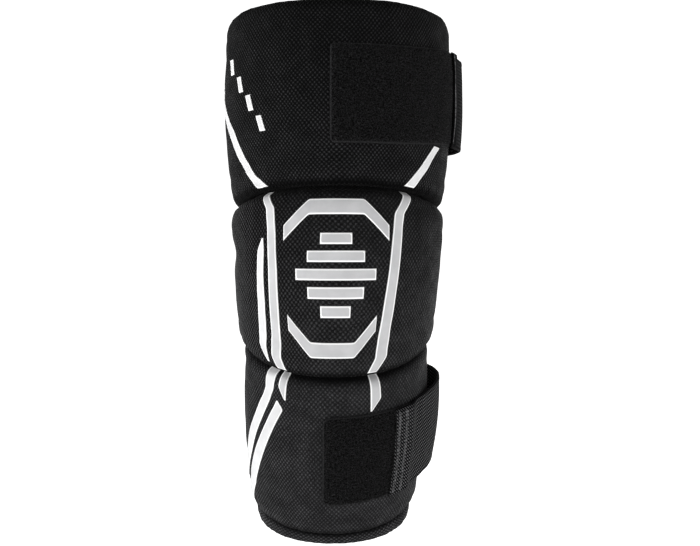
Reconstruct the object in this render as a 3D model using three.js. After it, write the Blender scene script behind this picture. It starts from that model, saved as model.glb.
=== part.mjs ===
// A padded arm guard for field sports: a stretch sleeve that carries three foam pads, a hem at the wrist end,
// and two elastic straps that close on the front with fleece tabs. Pale film is bonded to the pads.
// Millimetres, +Z up the arm, -Y out of the elbow's point, +X to the side where the straps close.
// The origin is the middle of the hollow at the elbow.

import * as THREE from "three";

// Lengths along the arm's centreline
const BICEPS_LENGTH = 102;
const ELBOW_LENGTH = 67;
const FOREARM_LENGTH = 94.5;
const HEM_HEIGHT = 11;

// Reach of the sleeve's outer face from the centreline, to the side, the front and the back
const BICEPS_REACH = { side: 52, front: 47, back: 44 };
const ELBOW_REACH = { side: 44.6, front: 43, back: 38 };
const FOREARM_REACH = { side: 42.8, front: 38, back: 35 };
const CUFF_REACH = { side: 39, front: 35, back: 32 };

// Walls and foam
const SLEEVE_WALL = 2.5;
const BICEPS_FOAM = 9;
const ELBOW_FOAM = 10;
const FOREARM_FOAM = 7;
const HEM_FOLD = 4;
const SEWN_EDGE = 1.8;
const PIECE_GAP = 0.4;

// How far each pad wraps round to the back, in degrees from the front
const BICEPS_WRAP = 122;
const ELBOW_WRAP = 112;
const FOREARM_WRAP = 118;

// How much further down each cross line runs at the front than at the side. The upper crease runs higher.
const RIM_DROP = 0.5;
const UPPER_CREASE_RISE = 7.5;
const LOWER_CREASE_DROP = 13.5;
const HEM_LINE_DROP = 5;
const SLEEVE_END_DROP = 3;

// The elbow pad's centre panel is quilted off from its wings by two channels
const CHANNEL_ANGLE = 51;
const CHANNEL_DEPTH = 0.6;

// Straps and their fleece tabs. A strap's climb is how much higher it runs past the +X side than at the
// front, and the angles at which it starts and ends.
const UPPER_STRAP_MIDDLE = 0.484 * BICEPS_LENGTH;
const UPPER_STRAP_WIDTH = 49.5;
const UPPER_CLIMB = { height: 4.8, from: 20, to: 90 };
const UPPER_STANDOFF = 6.5;
const LOWER_STRAP_MIDDLE = BICEPS_LENGTH + ELBOW_LENGTH + 0.606 * FOREARM_LENGTH;
const LOWER_STRAP_WIDTH = 47;
const LOWER_CLIMB = { height: 11, from: -10, to: 140 };
const LOWER_STANDOFF = 5.5;
const STRAP_THICKNESS = 1.8;
const TAB_THICKNESS = 2.2;
const UPPER_TAB_OVERLAP = 4;
const LOWER_TAB_OVERLAP = 8;
const UPPER_TAB_CORNER = 1;
const LOWER_TAB_CORNER = 4;
const STRAP_GAP = 0.5;

// Bonded film
const FILM_THICKNESS = 0.6;
const FILM_GAP = 0.4;
const TAB_CLEARANCE = 1.5;

// Mesh fineness: cells round the full arm and along a pad, a strap's cells in degrees, and the share of a
// film's row within which a crossed line needs no cut of its own
const CELLS_ROUND = 40;
const CELLS_ALONG_PAD = 12;
const STRAP_CELL = 6;
const FILM_CLEAR = 0.04;

const UPPER_CREASE = BICEPS_LENGTH;
const LOWER_CREASE = BICEPS_LENGTH + ELBOW_LENGTH;
const HEM_LINE = LOWER_CREASE + FOREARM_LENGTH;
const SLEEVE_END = HEM_LINE + HEM_HEIGHT;
const ORIGIN_AT = BICEPS_LENGTH + ELBOW_LENGTH / 2;
const MID_BICEPS = BICEPS_LENGTH / 2;
const MID_FOREARM = LOWER_CREASE + FOREARM_LENGTH / 2;

const { clamp, lerp, inverseLerp, smoothstep, euclideanModulo, degToRad } = THREE.MathUtils;

// Sections of the sleeve from the top rim down. at: where along the centreline. side, front and back: shares
// of the reach under of. shift: how far the section lies towards +X, as a share of its side reach. lean:
// degrees that the section's front is raised. pow: exponent of the outline.
const SECTIONS = [
  { at: 0, of: BICEPS_REACH, side: 0.98, front: 0.97, back: 1, shift: 0.01, lean: 3, pow: 2.2 },
  { at: MID_BICEPS, of: BICEPS_REACH, side: 1, front: 1, back: 0.98, shift: 0.01, lean: 2, pow: 2.2 },
  { at: UPPER_CREASE, of: ELBOW_REACH, side: 1.07, front: 1.03, back: 1.04, shift: 0.01, lean: 2, pow: 2.3 },
  { at: ORIGIN_AT, of: ELBOW_REACH, side: 1.01, front: 1, back: 1, shift: 0, lean: -2, pow: 2.5 },
  { at: LOWER_CREASE, of: FOREARM_REACH, side: 1, front: 1.02, back: 1, shift: -0.01, lean: -9, pow: 2.3 },
  { at: MID_FOREARM, of: FOREARM_REACH, side: 1, front: 1, back: 1, shift: -0.02, lean: -13, pow: 2.2 },
  { at: HEM_LINE, of: CUFF_REACH, side: 1, front: 1, back: 1, shift: -0.06, lean: -17, pow: 2.1 },
  { at: SLEEVE_END, of: CUFF_REACH, side: 0.99, front: 1, back: 1, shift: -0.06, lean: -17, pow: 2.1 },
];
const COLUMNS = ["side", "front", "back", "shift", "lean", "pow"];
const sections = new THREE.CubicInterpolant(
  SECTIONS.map((row) => row.at),
  SECTIONS.flatMap((row) => [
    row.side * row.of.side,
    row.front * row.of.front,
    row.back * row.of.back,
    row.shift * row.of.side,
    degToRad(row.lean),
    row.pow,
  ]),
  COLUMNS.length,
);

// The sleeve's section at one place along the centreline, with its columns by name
function sectionAt(at) {
  const values = sections.evaluate(clamp(at, 0, SLEEVE_END));
  return Object.fromEntries(COLUMNS.map((name, i) => [name, values[i]]));
}

// The centreline bends with the sections' lean. It is summed in short steps and shifted to pass the origin.
const CENTRE_STEPS = 128;
function summedCentres() {
  const step = SLEEVE_END / CENTRE_STEPS;
  const places = [0];
  const values = [0, 0];
  for (let i = 0; i < CENTRE_STEPS; i++) {
    const { lean } = sectionAt((i + 0.5) * step);
    const [y, z] = values.slice(-2);
    values.push(y - step * Math.sin(lean), z - step * Math.cos(lean));
    places.push((i + 1) * step);
  }
  return new THREE.LinearInterpolant(places, values, 2);
}
const centres = summedCentres();
const [originY, originZ] = centres.evaluate(ORIGIN_AT);

// A point over the sleeve. angle is in degrees from the front towards +X, lift is the height over the
// sleeve's outer face.
function overSleeve(at, angle, lift) {
  const { side, front, back, shift, lean, pow } = sectionAt(at);
  const across = Math.sin(degToRad(angle));
  const forward = Math.cos(degToRad(angle));
  const depth = forward > 0 ? front : back;
  const x = Math.sign(across) * Math.abs(across) ** (2 / pow);
  const f = Math.sign(forward) * Math.abs(forward) ** (2 / pow);
  const out = new THREE.Vector2(
    (Math.sign(x) * Math.abs(x) ** (pow - 1)) / side,
    (Math.sign(f) * Math.abs(f) ** (pow - 1)) / depth,
  ).normalize();
  const ahead = f * depth + lift * out.y;
  const [y, z] = centres.evaluate(at);
  return new THREE.Vector3(
    shift + x * side + lift * out.x,
    y - originY - ahead * Math.cos(lean),
    z - originZ + ahead * Math.sin(lean),
  );
}

// Millimetres that one degree covers at a place over the sleeve
function degreeLength(at, angle, lift) {
  return overSleeve(at, angle + 0.5, lift).distanceTo(overSleeve(at, angle - 0.5, lift));
}

// Cross lines, as places along the centreline at an angle. The drop eases to nothing behind the sides.
const EASE = 0.2;
function crossLine(at, drop) {
  return (angle) => {
    const forward = Math.cos(degToRad(angle));
    return at + (drop * (forward + Math.hypot(forward, EASE))) / 2;
  };
}
const topRim = crossLine(0, RIM_DROP);
const upperCrease = crossLine(UPPER_CREASE, -UPPER_CREASE_RISE);
const lowerCrease = crossLine(LOWER_CREASE, LOWER_CREASE_DROP);
const hemLine = crossLine(HEM_LINE, HEM_LINE_DROP);
const sleeveEnd = crossLine(SLEEVE_END, SLEEVE_END_DROP);

// Each pad: its cross lines, its foam, and for each edge how wide its rounding is, as a multiple of the foam,
// and the share of foam left there
const PADS = {
  biceps: {
    from: topRim,
    to: upperCrease,
    foam: BICEPS_FOAM,
    wrap: BICEPS_WRAP,
    top: { rounding: 0.9, left: 0.3 },
    bottom: { rounding: 1.35, left: 0.6 },
    ends: { rounding: 2.2, left: 0.2 },
  },
  elbow: {
    from: upperCrease,
    to: lowerCrease,
    foam: ELBOW_FOAM,
    wrap: ELBOW_WRAP,
    top: { rounding: 1.2, left: 0.32 },
    bottom: { rounding: 1, left: 0.6 },
    ends: { rounding: 2.2, left: 0.2 },
    channel: { angle: CHANNEL_ANGLE, depth: CHANNEL_DEPTH },
  },
  forearm: {
    from: lowerCrease,
    to: hemLine,
    foam: FOREARM_FOAM,
    wrap: FOREARM_WRAP,
    top: { rounding: 1.3, left: 0.38 },
    bottom: { rounding: 1.3, left: 0.45 },
    ends: { rounding: 2.85, left: 0.26 },
  },
};

// Foam share near an edge: a quarter round that starts at edge.left and is full past edge.rounding
function rounded(distance, foam, edge) {
  const short = 1 - clamp(distance / (edge.rounding * foam), 0, 1);
  return lerp(edge.left, 1, Math.sqrt(1 - short * short));
}

// Columns of a pad's grid. One falls on each channel.
function padAngles({ wrap, channel }) {
  const cells = Math.round((2 * wrap * CELLS_ROUND) / 360);
  const angles = even(cells).map((share) => lerp(-wrap, wrap, share));
  if (!channel) return angles;
  return angles.map((angle) => {
    const onChannel = Math.abs(Math.abs(angle) - channel.angle) <= wrap / cells;
    return onChannel ? Math.sign(angle) * channel.angle : angle;
  });
}

// Height of a pad's outer face over the sleeve
function padLift(pad, at, angle) {
  const degree = degreeLength(at, angle, pad.foam);
  const share =
    rounded(at - pad.from(angle), pad.foam, pad.top) *
    rounded(pad.to(angle) - at, pad.foam, pad.bottom) *
    rounded((pad.wrap - Math.abs(angle)) * degree, pad.foam, pad.ends);
  const onChannel = pad.channel && Math.abs(Math.abs(angle) - pad.channel.angle) < 0.01;
  return PIECE_GAP + Math.max(SEWN_EDGE, pad.foam * share - (onChannel ? pad.channel.depth : 0));
}

// The pad that covers a place along the centreline
function padAt(at, angle) {
  if (at < upperCrease(angle)) return PADS.biceps;
  return at < lowerCrease(angle) ? PADS.elbow : PADS.forearm;
}

// Height of whatever lies on the sleeve at a place, easing down to the bare sleeve past a pad's end
const EASE_DEGREES = 16;
const OFF_TAB = 9;
function coveredLift(at, angle) {
  const turned = euclideanModulo(angle + 180, 360) - 180;
  const pad = padAt(at, turned);
  const beyond = Math.abs(turned) - pad.wrap;
  if (beyond <= 0) return padLift(pad, at, turned);
  return padLift(pad, at, Math.sign(turned) * pad.wrap) * (1 - smoothstep(beyond, 0, EASE_DEGREES));
}

// Shares from 0 to 1: evenly spread, or crowded at both ends, where edges are rounded
const even = (count) => Array.from({ length: count + 1 }, (_, i) => i / count);
const crowded = (count) => even(count).map((share) => (1 - Math.cos(Math.PI * share)) / 2);

// A closed wall between an outer and an inner grid of points. Its rows run down the arm and its columns run
// from -X to +X over the front. A ring joins its last column to its first.
function wall(outer, inner, ring = false) {
  const rows = outer.length;
  const columns = outer[0].length;
  const out = (i, j) => i * columns + (j % columns);
  const inn = (i, j) => rows * columns + out(i, j);
  const index = [];
  const quad = (a, b, c, d) => index.push(a, b, c, a, c, d);
  const cells = ring ? columns : columns - 1;
  for (let j = 0; j < cells; j++) {
    for (let i = 0; i < rows - 1; i++) {
      quad(out(i, j), out(i + 1, j), out(i + 1, j + 1), out(i, j + 1));
      quad(inn(i, j), inn(i, j + 1), inn(i + 1, j + 1), inn(i + 1, j));
    }
    quad(out(0, j), out(0, j + 1), inn(0, j + 1), inn(0, j));
    quad(out(rows - 1, j), inn(rows - 1, j), inn(rows - 1, j + 1), out(rows - 1, j + 1));
  }
  for (let i = 0; i < rows - 1 && !ring; i++) {
    quad(out(i, 0), inn(i, 0), inn(i + 1, 0), out(i + 1, 0));
    quad(out(i, cells), out(i + 1, cells), inn(i + 1, cells), inn(i, cells));
  }
  return new THREE.BufferGeometry().setFromPoints([...outer.flat(), ...inner.flat()]).setIndex(index);
}

// A grid of points over the sleeve: rows run between two cross lines, with one column at each angle
function grid({ angles, shares, from, to }, lift) {
  return shares.map((share) =>
    angles.map((angle) => {
      const at = lerp(from(angle), to(angle), share);
      return overSleeve(at, angle, lift(at, angle));
    }),
  );
}

// Every piece's material, by what it is made of
const MATERIALS = {
  spacer_mesh: { color: 0x17171a, roughness: 0.8 },
  stretch_knit: { color: 0x1b1b1e, roughness: 0.9 },
  hem_knit: { color: 0x1f1f22, roughness: 0.85 },
  elastic_webbing: { color: 0x202023, roughness: 0.75 },
  loop_fleece: { color: 0x0f0f11, roughness: 1 },
  film_white: { color: 0xebebed, roughness: 0.45 },
  film_grey: { color: 0xcfcfd3, roughness: 0.5 },
};

const armPad = new THREE.Group();
function add(name, geometry, material) {
  const finish = new THREE.MeshStandardMaterial({ ...MATERIALS[material], metalness: 0 });
  const mesh = new THREE.Mesh(geometry, finish);
  mesh.name = name;
  armPad.add(mesh);
}

const roundAngles = Array.from({ length: CELLS_ROUND }, (_, i) => (360 * i) / CELLS_ROUND - 180);

function addSleeve() {
  const layout = { angles: roundAngles, shares: even(14), from: topRim, to: sleeveEnd };
  add("stretch_sleeve", wall(grid(layout, () => 0), grid(layout, () => -SLEEVE_WALL), true), "stretch_knit");
}

function addHem() {
  const from = (angle) => hemLine(angle) + PIECE_GAP;
  const fold = (at, angle) => {
    const off = (2 * (at - from(angle))) / (sleeveEnd(angle) - from(angle)) - 1;
    return PIECE_GAP + HEM_FOLD * lerp(0.6, 1, Math.sqrt(Math.max(0, 1 - off * off)));
  };
  const layout = { angles: roundAngles, shares: crowded(4), from, to: sleeveEnd };
  add("wrist_hem", wall(grid(layout, fold), grid(layout, () => PIECE_GAP), true), "hem_knit");
}

// A pad's grid stops short of the creases, so that neighbours keep their gap
for (const pad of Object.values(PADS)) {
  const layout = {
    angles: padAngles(pad),
    shares: crowded(CELLS_ALONG_PAD),
    from: (angle) => pad.from(angle) + PIECE_GAP / 2,
    to: (angle) => pad.to(angle) - PIECE_GAP / 2,
  };
  pad.layout = layout;
  pad.outer = grid(layout, (at, angle) => padLift(pad, at, angle));
  pad.inner = grid(layout, () => PIECE_GAP);
}

// Each closure: the tab lies on the pad from its free end to the seam, then the elastic stands off the pad at
// the side, goes round the back and is sewn down over the pad's other end. Angles are in degrees.
const CLOSURES = [
  {
    name: "upper",
    middle: UPPER_STRAP_MIDDLE,
    climb: UPPER_CLIMB,
    width: UPPER_STRAP_WIDTH,
    tabFrom: -2.5,
    seam: 72,
    overlap: UPPER_TAB_OVERLAP,
    sewnAt: 360 - BICEPS_WRAP + 12,
    standoff: { height: UPPER_STANDOFF, from: 80, peak: 99, to: 150 },
    corner: UPPER_TAB_CORNER,
  },
  {
    name: "lower",
    middle: LOWER_STRAP_MIDDLE,
    climb: LOWER_CLIMB,
    width: LOWER_STRAP_WIDTH,
    tabFrom: -6,
    seam: 36,
    overlap: LOWER_TAB_OVERLAP,
    sewnAt: 360 - FOREARM_WRAP + 14,
    standoff: { height: LOWER_STANDOFF, from: 56, peak: 98, to: 150 },
    corner: LOWER_TAB_CORNER,
  },
];

// How far a strap has climbed at an angle
const climbed = ({ height, from, to }, angle) => height * smoothstep(angle, from, to);

function addClosure({ name, middle, climb, width, tabFrom, seam, overlap, sewnAt, standoff, corner }) {
  const degree = degreeLength(middle, seam, FOREARM_FOAM);
  const tabTo = seam + overlap / degree;
  const shares = even(4);
  const line = (offset) => (angle) => middle - climbed(climb, angle) + offset;

  // The tab's free end has rounded corners
  const cornerAngles = [0, 0.3, 0.7].map((share) => tabFrom + (share * corner) / degree);
  const tabCells = Math.ceil((tabTo - tabFrom) / STRAP_CELL);
  const bodyAngles = even(tabCells).map((share) => lerp(tabFrom + corner / degree, tabTo, share));
  const cut = (angle) => {
    const short = 1 - clamp(((angle - tabFrom) * degree) / corner, 0, 1);
    return corner * (1 - Math.sqrt(1 - short * short));
  };
  const tab = {
    angles: [...cornerAngles, ...bodyAngles],
    shares,
    from: (angle) => line(-width / 2)(angle) + cut(angle),
    to: (angle) => line(width / 2)(angle) - cut(angle),
  };
  const tabUnder = (at, angle) => coveredLift(at, angle) + STRAP_GAP;
  const tabOver = (at, angle) => tabUnder(at, angle) + TAB_THICKNESS;
  add(`${name}_strap_tab`, wall(grid(tab, tabOver), grid(tab, tabUnder)), "loop_fleece");

  // The elastic starts on top of the tab's end and eases down to the pad past it
  const easedOff = (angle) => 1 - smoothstep(angle, tabTo + 1, tabTo + OFF_TAB);
  const onTab = (angle) => (TAB_THICKNESS + PIECE_GAP) * easedOff(angle);
  const off = (angle) => {
    const { height, from, peak, to } = standoff;
    return height * smoothstep(angle, from, peak) * (1 - smoothstep(angle, peak, to));
  };
  const strapCells = Math.ceil((sewnAt - seam) / STRAP_CELL);
  const strap = {
    angles: even(strapCells).map((share) => lerp(seam, sewnAt, share)),
    shares,
    from: line(-width / 2),
    to: line(width / 2),
  };
  const strapUnder = (at, angle) => coveredLift(at, angle) + STRAP_GAP + onTab(angle) + off(angle);
  const strapOver = (at, angle) => strapUnder(at, angle) + STRAP_THICKNESS;
  add(`${name}_elastic_strap`, wall(grid(strap, strapOver), grid(strap, strapUnder)), "elastic_webbing");
}

// A point over a pad's outer facets, and the way out of the facet there
function onFacet({ layout, outer }, along, angle) {
  const column = clamp(layout.angles.findLastIndex((a) => a <= angle), 0, layout.angles.length - 2);
  const row = clamp(layout.shares.findLastIndex((s) => s <= along), 0, layout.shares.length - 2);
  const across = inverseLerp(layout.angles[column], layout.angles[column + 1], angle);
  const down = inverseLerp(layout.shares[row], layout.shares[row + 1], along);
  const upperLeft = outer[row][column];
  const lowerRight = outer[row + 1][column + 1];
  const corner = down > across ? outer[row + 1][column] : outer[row][column + 1];
  const facet = down > across ? [upperLeft, corner, lowerRight] : [upperLeft, lowerRight, corner];
  const point = upperLeft
    .clone()
    .lerp(corner, Math.abs(down - across))
    .addScaledVector(lowerRight.clone().sub(upperLeft), Math.min(down, across));
  return { point, out: new THREE.Triangle(...facet).getNormal(new THREE.Vector3()) };
}

// The right stripe on the biceps pad starts just below the upper tab
const STRIPE_TURN = 58;
const tabBottom = UPPER_STRAP_MIDDLE - climbed(UPPER_CLIMB, STRIPE_TURN) + UPPER_STRAP_WIDTH / 2;
const stripeTop = tabBottom + TAB_CLEARANCE;
const stripeStart = inverseLerp(topRim(STRIPE_TURN), upperCrease(STRIPE_TURN), stripeTop);

// Film that runs down a pad has a row per section: along is a share of the pad's length, left and right are
// the film's edges in degrees. Film that runs round a pad has rows at a turn in degrees, with top and bottom
// edges as shares of the pad's length.
const FILMS = [
  {
    name: "biceps_stripe_left",
    pad: PADS.biceps,
    material: "film_white",
    down: [
      { along: 0.361, left: -92, right: -88 },
      { along: 0.502, left: -79, right: -74 },
      { along: 0.654, left: -68, right: -61.5 },
      { along: 0.807, left: -58.5, right: -52.5 },
      { along: 0.92, left: -50, right: -44.5 },
      { along: 0.988, left: -44.7, right: -37 },
    ],
  },
  {
    name: "biceps_stripe_right",
    pad: PADS.biceps,
    material: "film_white",
    down: [
      { along: stripeStart, left: 55.5, right: 61 },
      { along: 0.946, left: 39.3, right: 45.2 },
      { along: 0.988, left: 35.8, right: 42.8 },
    ],
  },
  {
    name: "elbow_stripe_left",
    pad: PADS.elbow,
    material: "film_grey",
    down: [
      { along: 0.008, left: -42.5, right: -37.5 },
      { along: 0.115, left: -36, right: -31 },
      { along: 0.452, left: -34.5, right: -29 },
      { along: 0.919, left: -36.5, right: -30 },
      { along: 0.988, left: -33.5, right: -27.5 },
    ],
  },
  {
    name: "elbow_stripe_right",
    pad: PADS.elbow,
    material: "film_grey",
    down: [
      { along: 0.008, left: 36.8, right: 42.6 },
      { along: 0.146, left: 28.5, right: 34 },
      { along: 0.901, left: 21, right: 28 },
      { along: 0.985, left: 17.2, right: 22.5 },
    ],
  },
  {
    name: "elbow_side_stripe",
    pad: PADS.elbow,
    material: "film_white",
    down: [
      { along: 0.28, left: -39.2, right: -38.4 },
      { along: 0.345, left: -42.4, right: -37.9 },
      { along: 0.621, left: -44.3, right: -38.9 },
      { along: 0.867, left: -45.8, right: -40.5 },
      { along: 0.963, left: -40.4, right: -39.4 },
    ],
  },
  {
    name: "forearm_side_stripe",
    pad: PADS.forearm,
    material: "film_white",
    down: [
      { along: 0.008, left: -44.6, right: -36.5 },
      { along: 0.129, left: -44.8, right: -38.6 },
      { along: 0.189, left: -48, right: -41.5 },
      { along: 0.282, left: -53.5, right: -46.3 },
      { along: 0.394, left: -60, right: -52.5 },
      { along: 0.61, left: -73.5, right: -65 },
      { along: 0.84, left: -91, right: -81 },
    ],
  },
  {
    name: "forearm_slant_stripe",
    pad: PADS.forearm,
    material: "film_white",
    down: [
      { along: 0.186, left: -36, right: -35.2 },
      { along: 0.232, left: -38.5, right: -31.5 },
      { along: 0.355, left: -45.5, right: -38.5 },
      { along: 0.583, left: -59.5, right: -51 },
      { along: 0.837, left: -75, right: -64.8 },
      { along: 0.944, left: -82, right: -71 },
    ],
  },
  {
    name: "forearm_point_left",
    pad: PADS.forearm,
    material: "film_grey",
    down: [
      { along: 0.008, left: -33, right: -28 },
      { along: 0.096, left: -34.3, right: -28.7 },
      { along: 0.167, left: -30.2, right: -29.4 },
    ],
  },
  {
    name: "forearm_point_right",
    pad: PADS.forearm,
    material: "film_grey",
    down: [
      { along: 0.008, left: 19.5, right: 25.5 },
      { along: 0.143, left: 20, right: 26.6 },
      { along: 0.214, left: 20, right: 20.8 },
    ],
  },
  {
    name: "elbow_frame_upper",
    pad: PADS.elbow,
    material: "film_grey",
    round: [
      { turn: -25, top: 0.217, bottom: 0.297 },
      { turn: -12, top: 0.082, bottom: 0.163 },
      { turn: 12, top: 0.082, bottom: 0.163 },
      { turn: 25, top: 0.217, bottom: 0.297 },
    ],
  },
  {
    name: "elbow_frame_lower",
    pad: PADS.elbow,
    material: "film_grey",
    round: [
      { turn: -24, top: 0.675, bottom: 0.755 },
      { turn: -12, top: 0.806, bottom: 0.887 },
      { turn: 9, top: 0.806, bottom: 0.887 },
      { turn: 20, top: 0.675, bottom: 0.755 },
    ],
  },
];

// A diamond of bars inside the frame, and a row of slanted ticks up the biceps pad
const BARS = [
  { middle: 0.289, reach: 6 },
  { middle: 0.379, reach: 12 },
  { middle: 0.47, reach: 18 },
  { middle: 0.56, reach: 12 },
  { middle: 0.651, reach: 6 },
];
const BAR_SHARE = 0.055;
BARS.forEach(({ middle, reach }, i) => {
  const edges = { top: middle - BAR_SHARE / 2, bottom: middle + BAR_SHARE / 2 };
  const round = [-reach, reach].map((turn) => ({ turn, ...edges }));
  FILMS.push({ name: `elbow_bar_${i + 1}`, pad: PADS.elbow, material: "film_grey", round });
});

const TICKS = [
  { from: 0.262, turn: -66 },
  { from: 0.373, turn: -57 },
  { from: 0.485, turn: -49 },
  { from: 0.607, turn: -41.5 },
];
const TICK = { length: 0.085, width: 3.4, slant: 2.5 };
TICKS.forEach(({ from, turn }, i) => {
  const down = [0, 1].map((end) => ({
    along: from + end * TICK.length,
    left: turn + end * TICK.slant,
    right: turn + end * TICK.slant + TICK.width,
  }));
  FILMS.push({ name: `biceps_tick_${i + 1}`, pad: PADS.biceps, material: "film_white", down });
});

// A film has a cut at each of its rows and wherever its middle crosses a line of the pad's grid, so it bends
// where the pad's facets do. Each cut has points at both edges and the middle.
function addFilm({ name, pad, material, down, round }) {
  const { shares, angles } = pad.layout;
  const rows = down ?? round;
  const [runs, first, second] = down ? ["along", "left", "right"] : ["turn", "top", "bottom"];
  const middle = (row) => (row[first] + row[second]) / 2;
  const cutAt = (a, b, share) => {
    const columns = [runs, first, second].map((column) => [column, lerp(a[column], b[column], share)]);
    const row = Object.fromEntries(columns);
    const places = [row[first], middle(row), row[second]];
    return places.map((place) => (down ? onFacet(pad, row[runs], place) : onFacet(pad, place, row[runs])));
  };
  const crossed = (lines, from, to) => lines.map((line) => inverseLerp(from, to, line));
  const cuts = rows.slice(1).flatMap((row, i) => {
    const last = rows[i];
    const [ran, sideways] = down ? [shares, angles] : [angles, shares];
    const crossings = [
      ...crossed(ran, last[runs], row[runs]),
      ...crossed(sideways, middle(last), middle(row)),
    ].sort((a, b) => a - b);
    const kept = crossings.filter((share, j) => {
      const clearOfLast = j === 0 || share - crossings[j - 1] >= FILM_CLEAR;
      return clearOfLast && share > FILM_CLEAR && share < 1 - FILM_CLEAR;
    });
    return [...(i ? [] : [0]), ...kept, 1].map((share) => cutAt(last, row, share));
  });
  const face = (height) => {
    const lifted = ({ point, out }) => point.clone().addScaledVector(out, height);
    const points = cuts.map((cut) => cut.map(lifted));
    return down ? points : points[0].map((_, i) => points.map((cut) => cut[i]));
  };
  add(name, wall(face(FILM_GAP + FILM_THICKNESS), face(FILM_GAP)), material);
}

addSleeve();
for (const [name, pad] of Object.entries(PADS)) add(`${name}_pad`, wall(pad.outer, pad.inner), "spacer_mesh");
addHem();
CLOSURES.forEach(addClosure);
FILMS.forEach(addFilm);

export default armPad;
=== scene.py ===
"""A padded arm guard for field sports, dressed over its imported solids.

Metres, +Z up the arm, -Y out of the elbow's point, +X to the side where the straps close. A place on the
arm is given as millimetres along the centreline from the top rim, degrees from the front towards +X, and
millimetres of lift over the sleeve's outer face.
"""

import logging
import math
from dataclasses import dataclass, field
from enum import Enum
from functools import cache, partial, reduce
from typing import Callable, NamedTuple, Optional, Sequence, Union

import bpy
import numpy as np
from mathutils import Euler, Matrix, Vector
from mathutils.bvhtree import BVHTree


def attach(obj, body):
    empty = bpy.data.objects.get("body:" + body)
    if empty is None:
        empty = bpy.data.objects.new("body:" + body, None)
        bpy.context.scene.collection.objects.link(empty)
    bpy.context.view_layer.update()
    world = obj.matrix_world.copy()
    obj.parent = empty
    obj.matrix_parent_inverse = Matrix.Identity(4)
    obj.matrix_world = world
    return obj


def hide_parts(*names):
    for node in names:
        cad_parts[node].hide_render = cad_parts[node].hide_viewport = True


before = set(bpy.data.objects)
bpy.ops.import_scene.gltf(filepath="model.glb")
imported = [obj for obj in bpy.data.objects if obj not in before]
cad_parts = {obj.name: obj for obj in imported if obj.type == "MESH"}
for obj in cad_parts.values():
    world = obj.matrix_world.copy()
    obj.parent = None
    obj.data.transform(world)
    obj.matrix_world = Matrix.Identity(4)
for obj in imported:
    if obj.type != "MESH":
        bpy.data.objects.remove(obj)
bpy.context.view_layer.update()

log = logging.getLogger("arm_guard")

Array = np.ndarray
Values = Union[float, Array]
Place = tuple[float, float, float]
MM = 0.001
WEAVE_MAP = "Weave"


# Numbers and meshes.


def smoothstep(value: Values, low: float, high: float) -> Array:
    """Ease from 0 at low to 1 at high."""
    share = np.clip((np.asarray(value, float) - low) / (high - low), 0, 1)
    return share * share * (3 - 2 * share)


def bump(value: Values, width: float) -> Array:
    """A bell that is 1 at 0 and fades over width."""
    return np.exp(-((np.asarray(value, float) / width) ** 2))


def waves(value: Array, seed: int, count: int = 5) -> Array:
    """Uneven ripple between about -1 and 1, summed from a few sines.

    Args:
        value: Where to read it, in ripples.
        seed: Picks the phases.
        count: How many sines are summed.

    Returns:
        The ripple's height at each value.
    """
    phases = np.random.default_rng(seed).uniform(0, 2 * math.pi, count)
    rates = np.linspace(0.55, 1.6, count)
    total = sum(np.sin(2 * math.pi * rate * value + phase) for rate, phase in zip(rates, phases))
    return total / math.sqrt(count)


def through(places: Array, values: Array, at: Values) -> Array:
    """Smooth curve through a table, flat outside it.

    Args:
        places: The table's places, rising.
        values: The value at each place.
        at: Where to read the curve.

    Returns:
        The curve's value at each place asked for.
    """
    at = np.clip(np.asarray(at, float), places[0], places[-1] - 1e-9)
    i = np.clip(np.searchsorted(places, at, side="right"), 1, len(places) - 1)
    start, end = places[i - 1], places[i]
    before = np.where(i >= 2, i - 2, i)
    after = np.where(i + 1 < len(places), i + 1, i - 1)
    half = (end - start) / 2
    back, ahead = half / (start - places[before]), half / (places[after] - end)
    p = (at - start) / (end - start)
    square, cube = p * p, p * p * p
    return (
        (-back * cube + 2 * back * square - back * p) * values[before]
        + ((1 + back) * cube + (-1.5 - 2 * back) * square + (-0.5 + back) * p + 1) * values[i - 1]
        + ((-1 - ahead) * cube + (1.5 + ahead) * square + 0.5 * p) * values[i]
        + (ahead * cube - ahead * square) * values[after]
    )


def refined(grid: Array, axis: int) -> Array:
    """Twice as many cells along one axis of a grid of points, on a smooth curve through the old ones."""
    rows = np.moveaxis(grid, axis, 0)
    padded = np.concatenate([2 * rows[:1] - rows[1:2], rows, 2 * rows[-1:] - rows[-2:-1]])
    middles = (-padded[:-3] + 9 * padded[1:-2] + 9 * padded[2:-1] - padded[3:]) / 16
    out = np.empty((2 * len(rows) - 1, *rows.shape[1:]))
    out[::2], out[1::2] = rows, middles
    return np.moveaxis(out, 0, axis)


def unit(vectors: Array) -> Array:
    """Vectors made one long."""
    return vectors / np.maximum(np.linalg.norm(vectors, axis=-1, keepdims=True), 1e-12)


def grid_normals(grid: Array) -> Array:
    """Unit normals of a grid whose rows run down the arm and columns from -X to +X over the front."""
    return unit(np.cross(np.gradient(grid, axis=0), np.gradient(grid, axis=1)))


def between(where: Array, places: Array, rows: Array) -> Array:
    """Vectors at places between the rows of a table of vectors."""
    return np.stack([np.interp(where, places, rows[:, k]) for k in range(3)], axis=1)


def linked(name: str, data: bpy.types.ID) -> bpy.types.Object:
    """A new object in the scene."""
    made = bpy.data.objects.new(name, data)
    bpy.context.scene.collection.objects.link(made)
    return made


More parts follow.
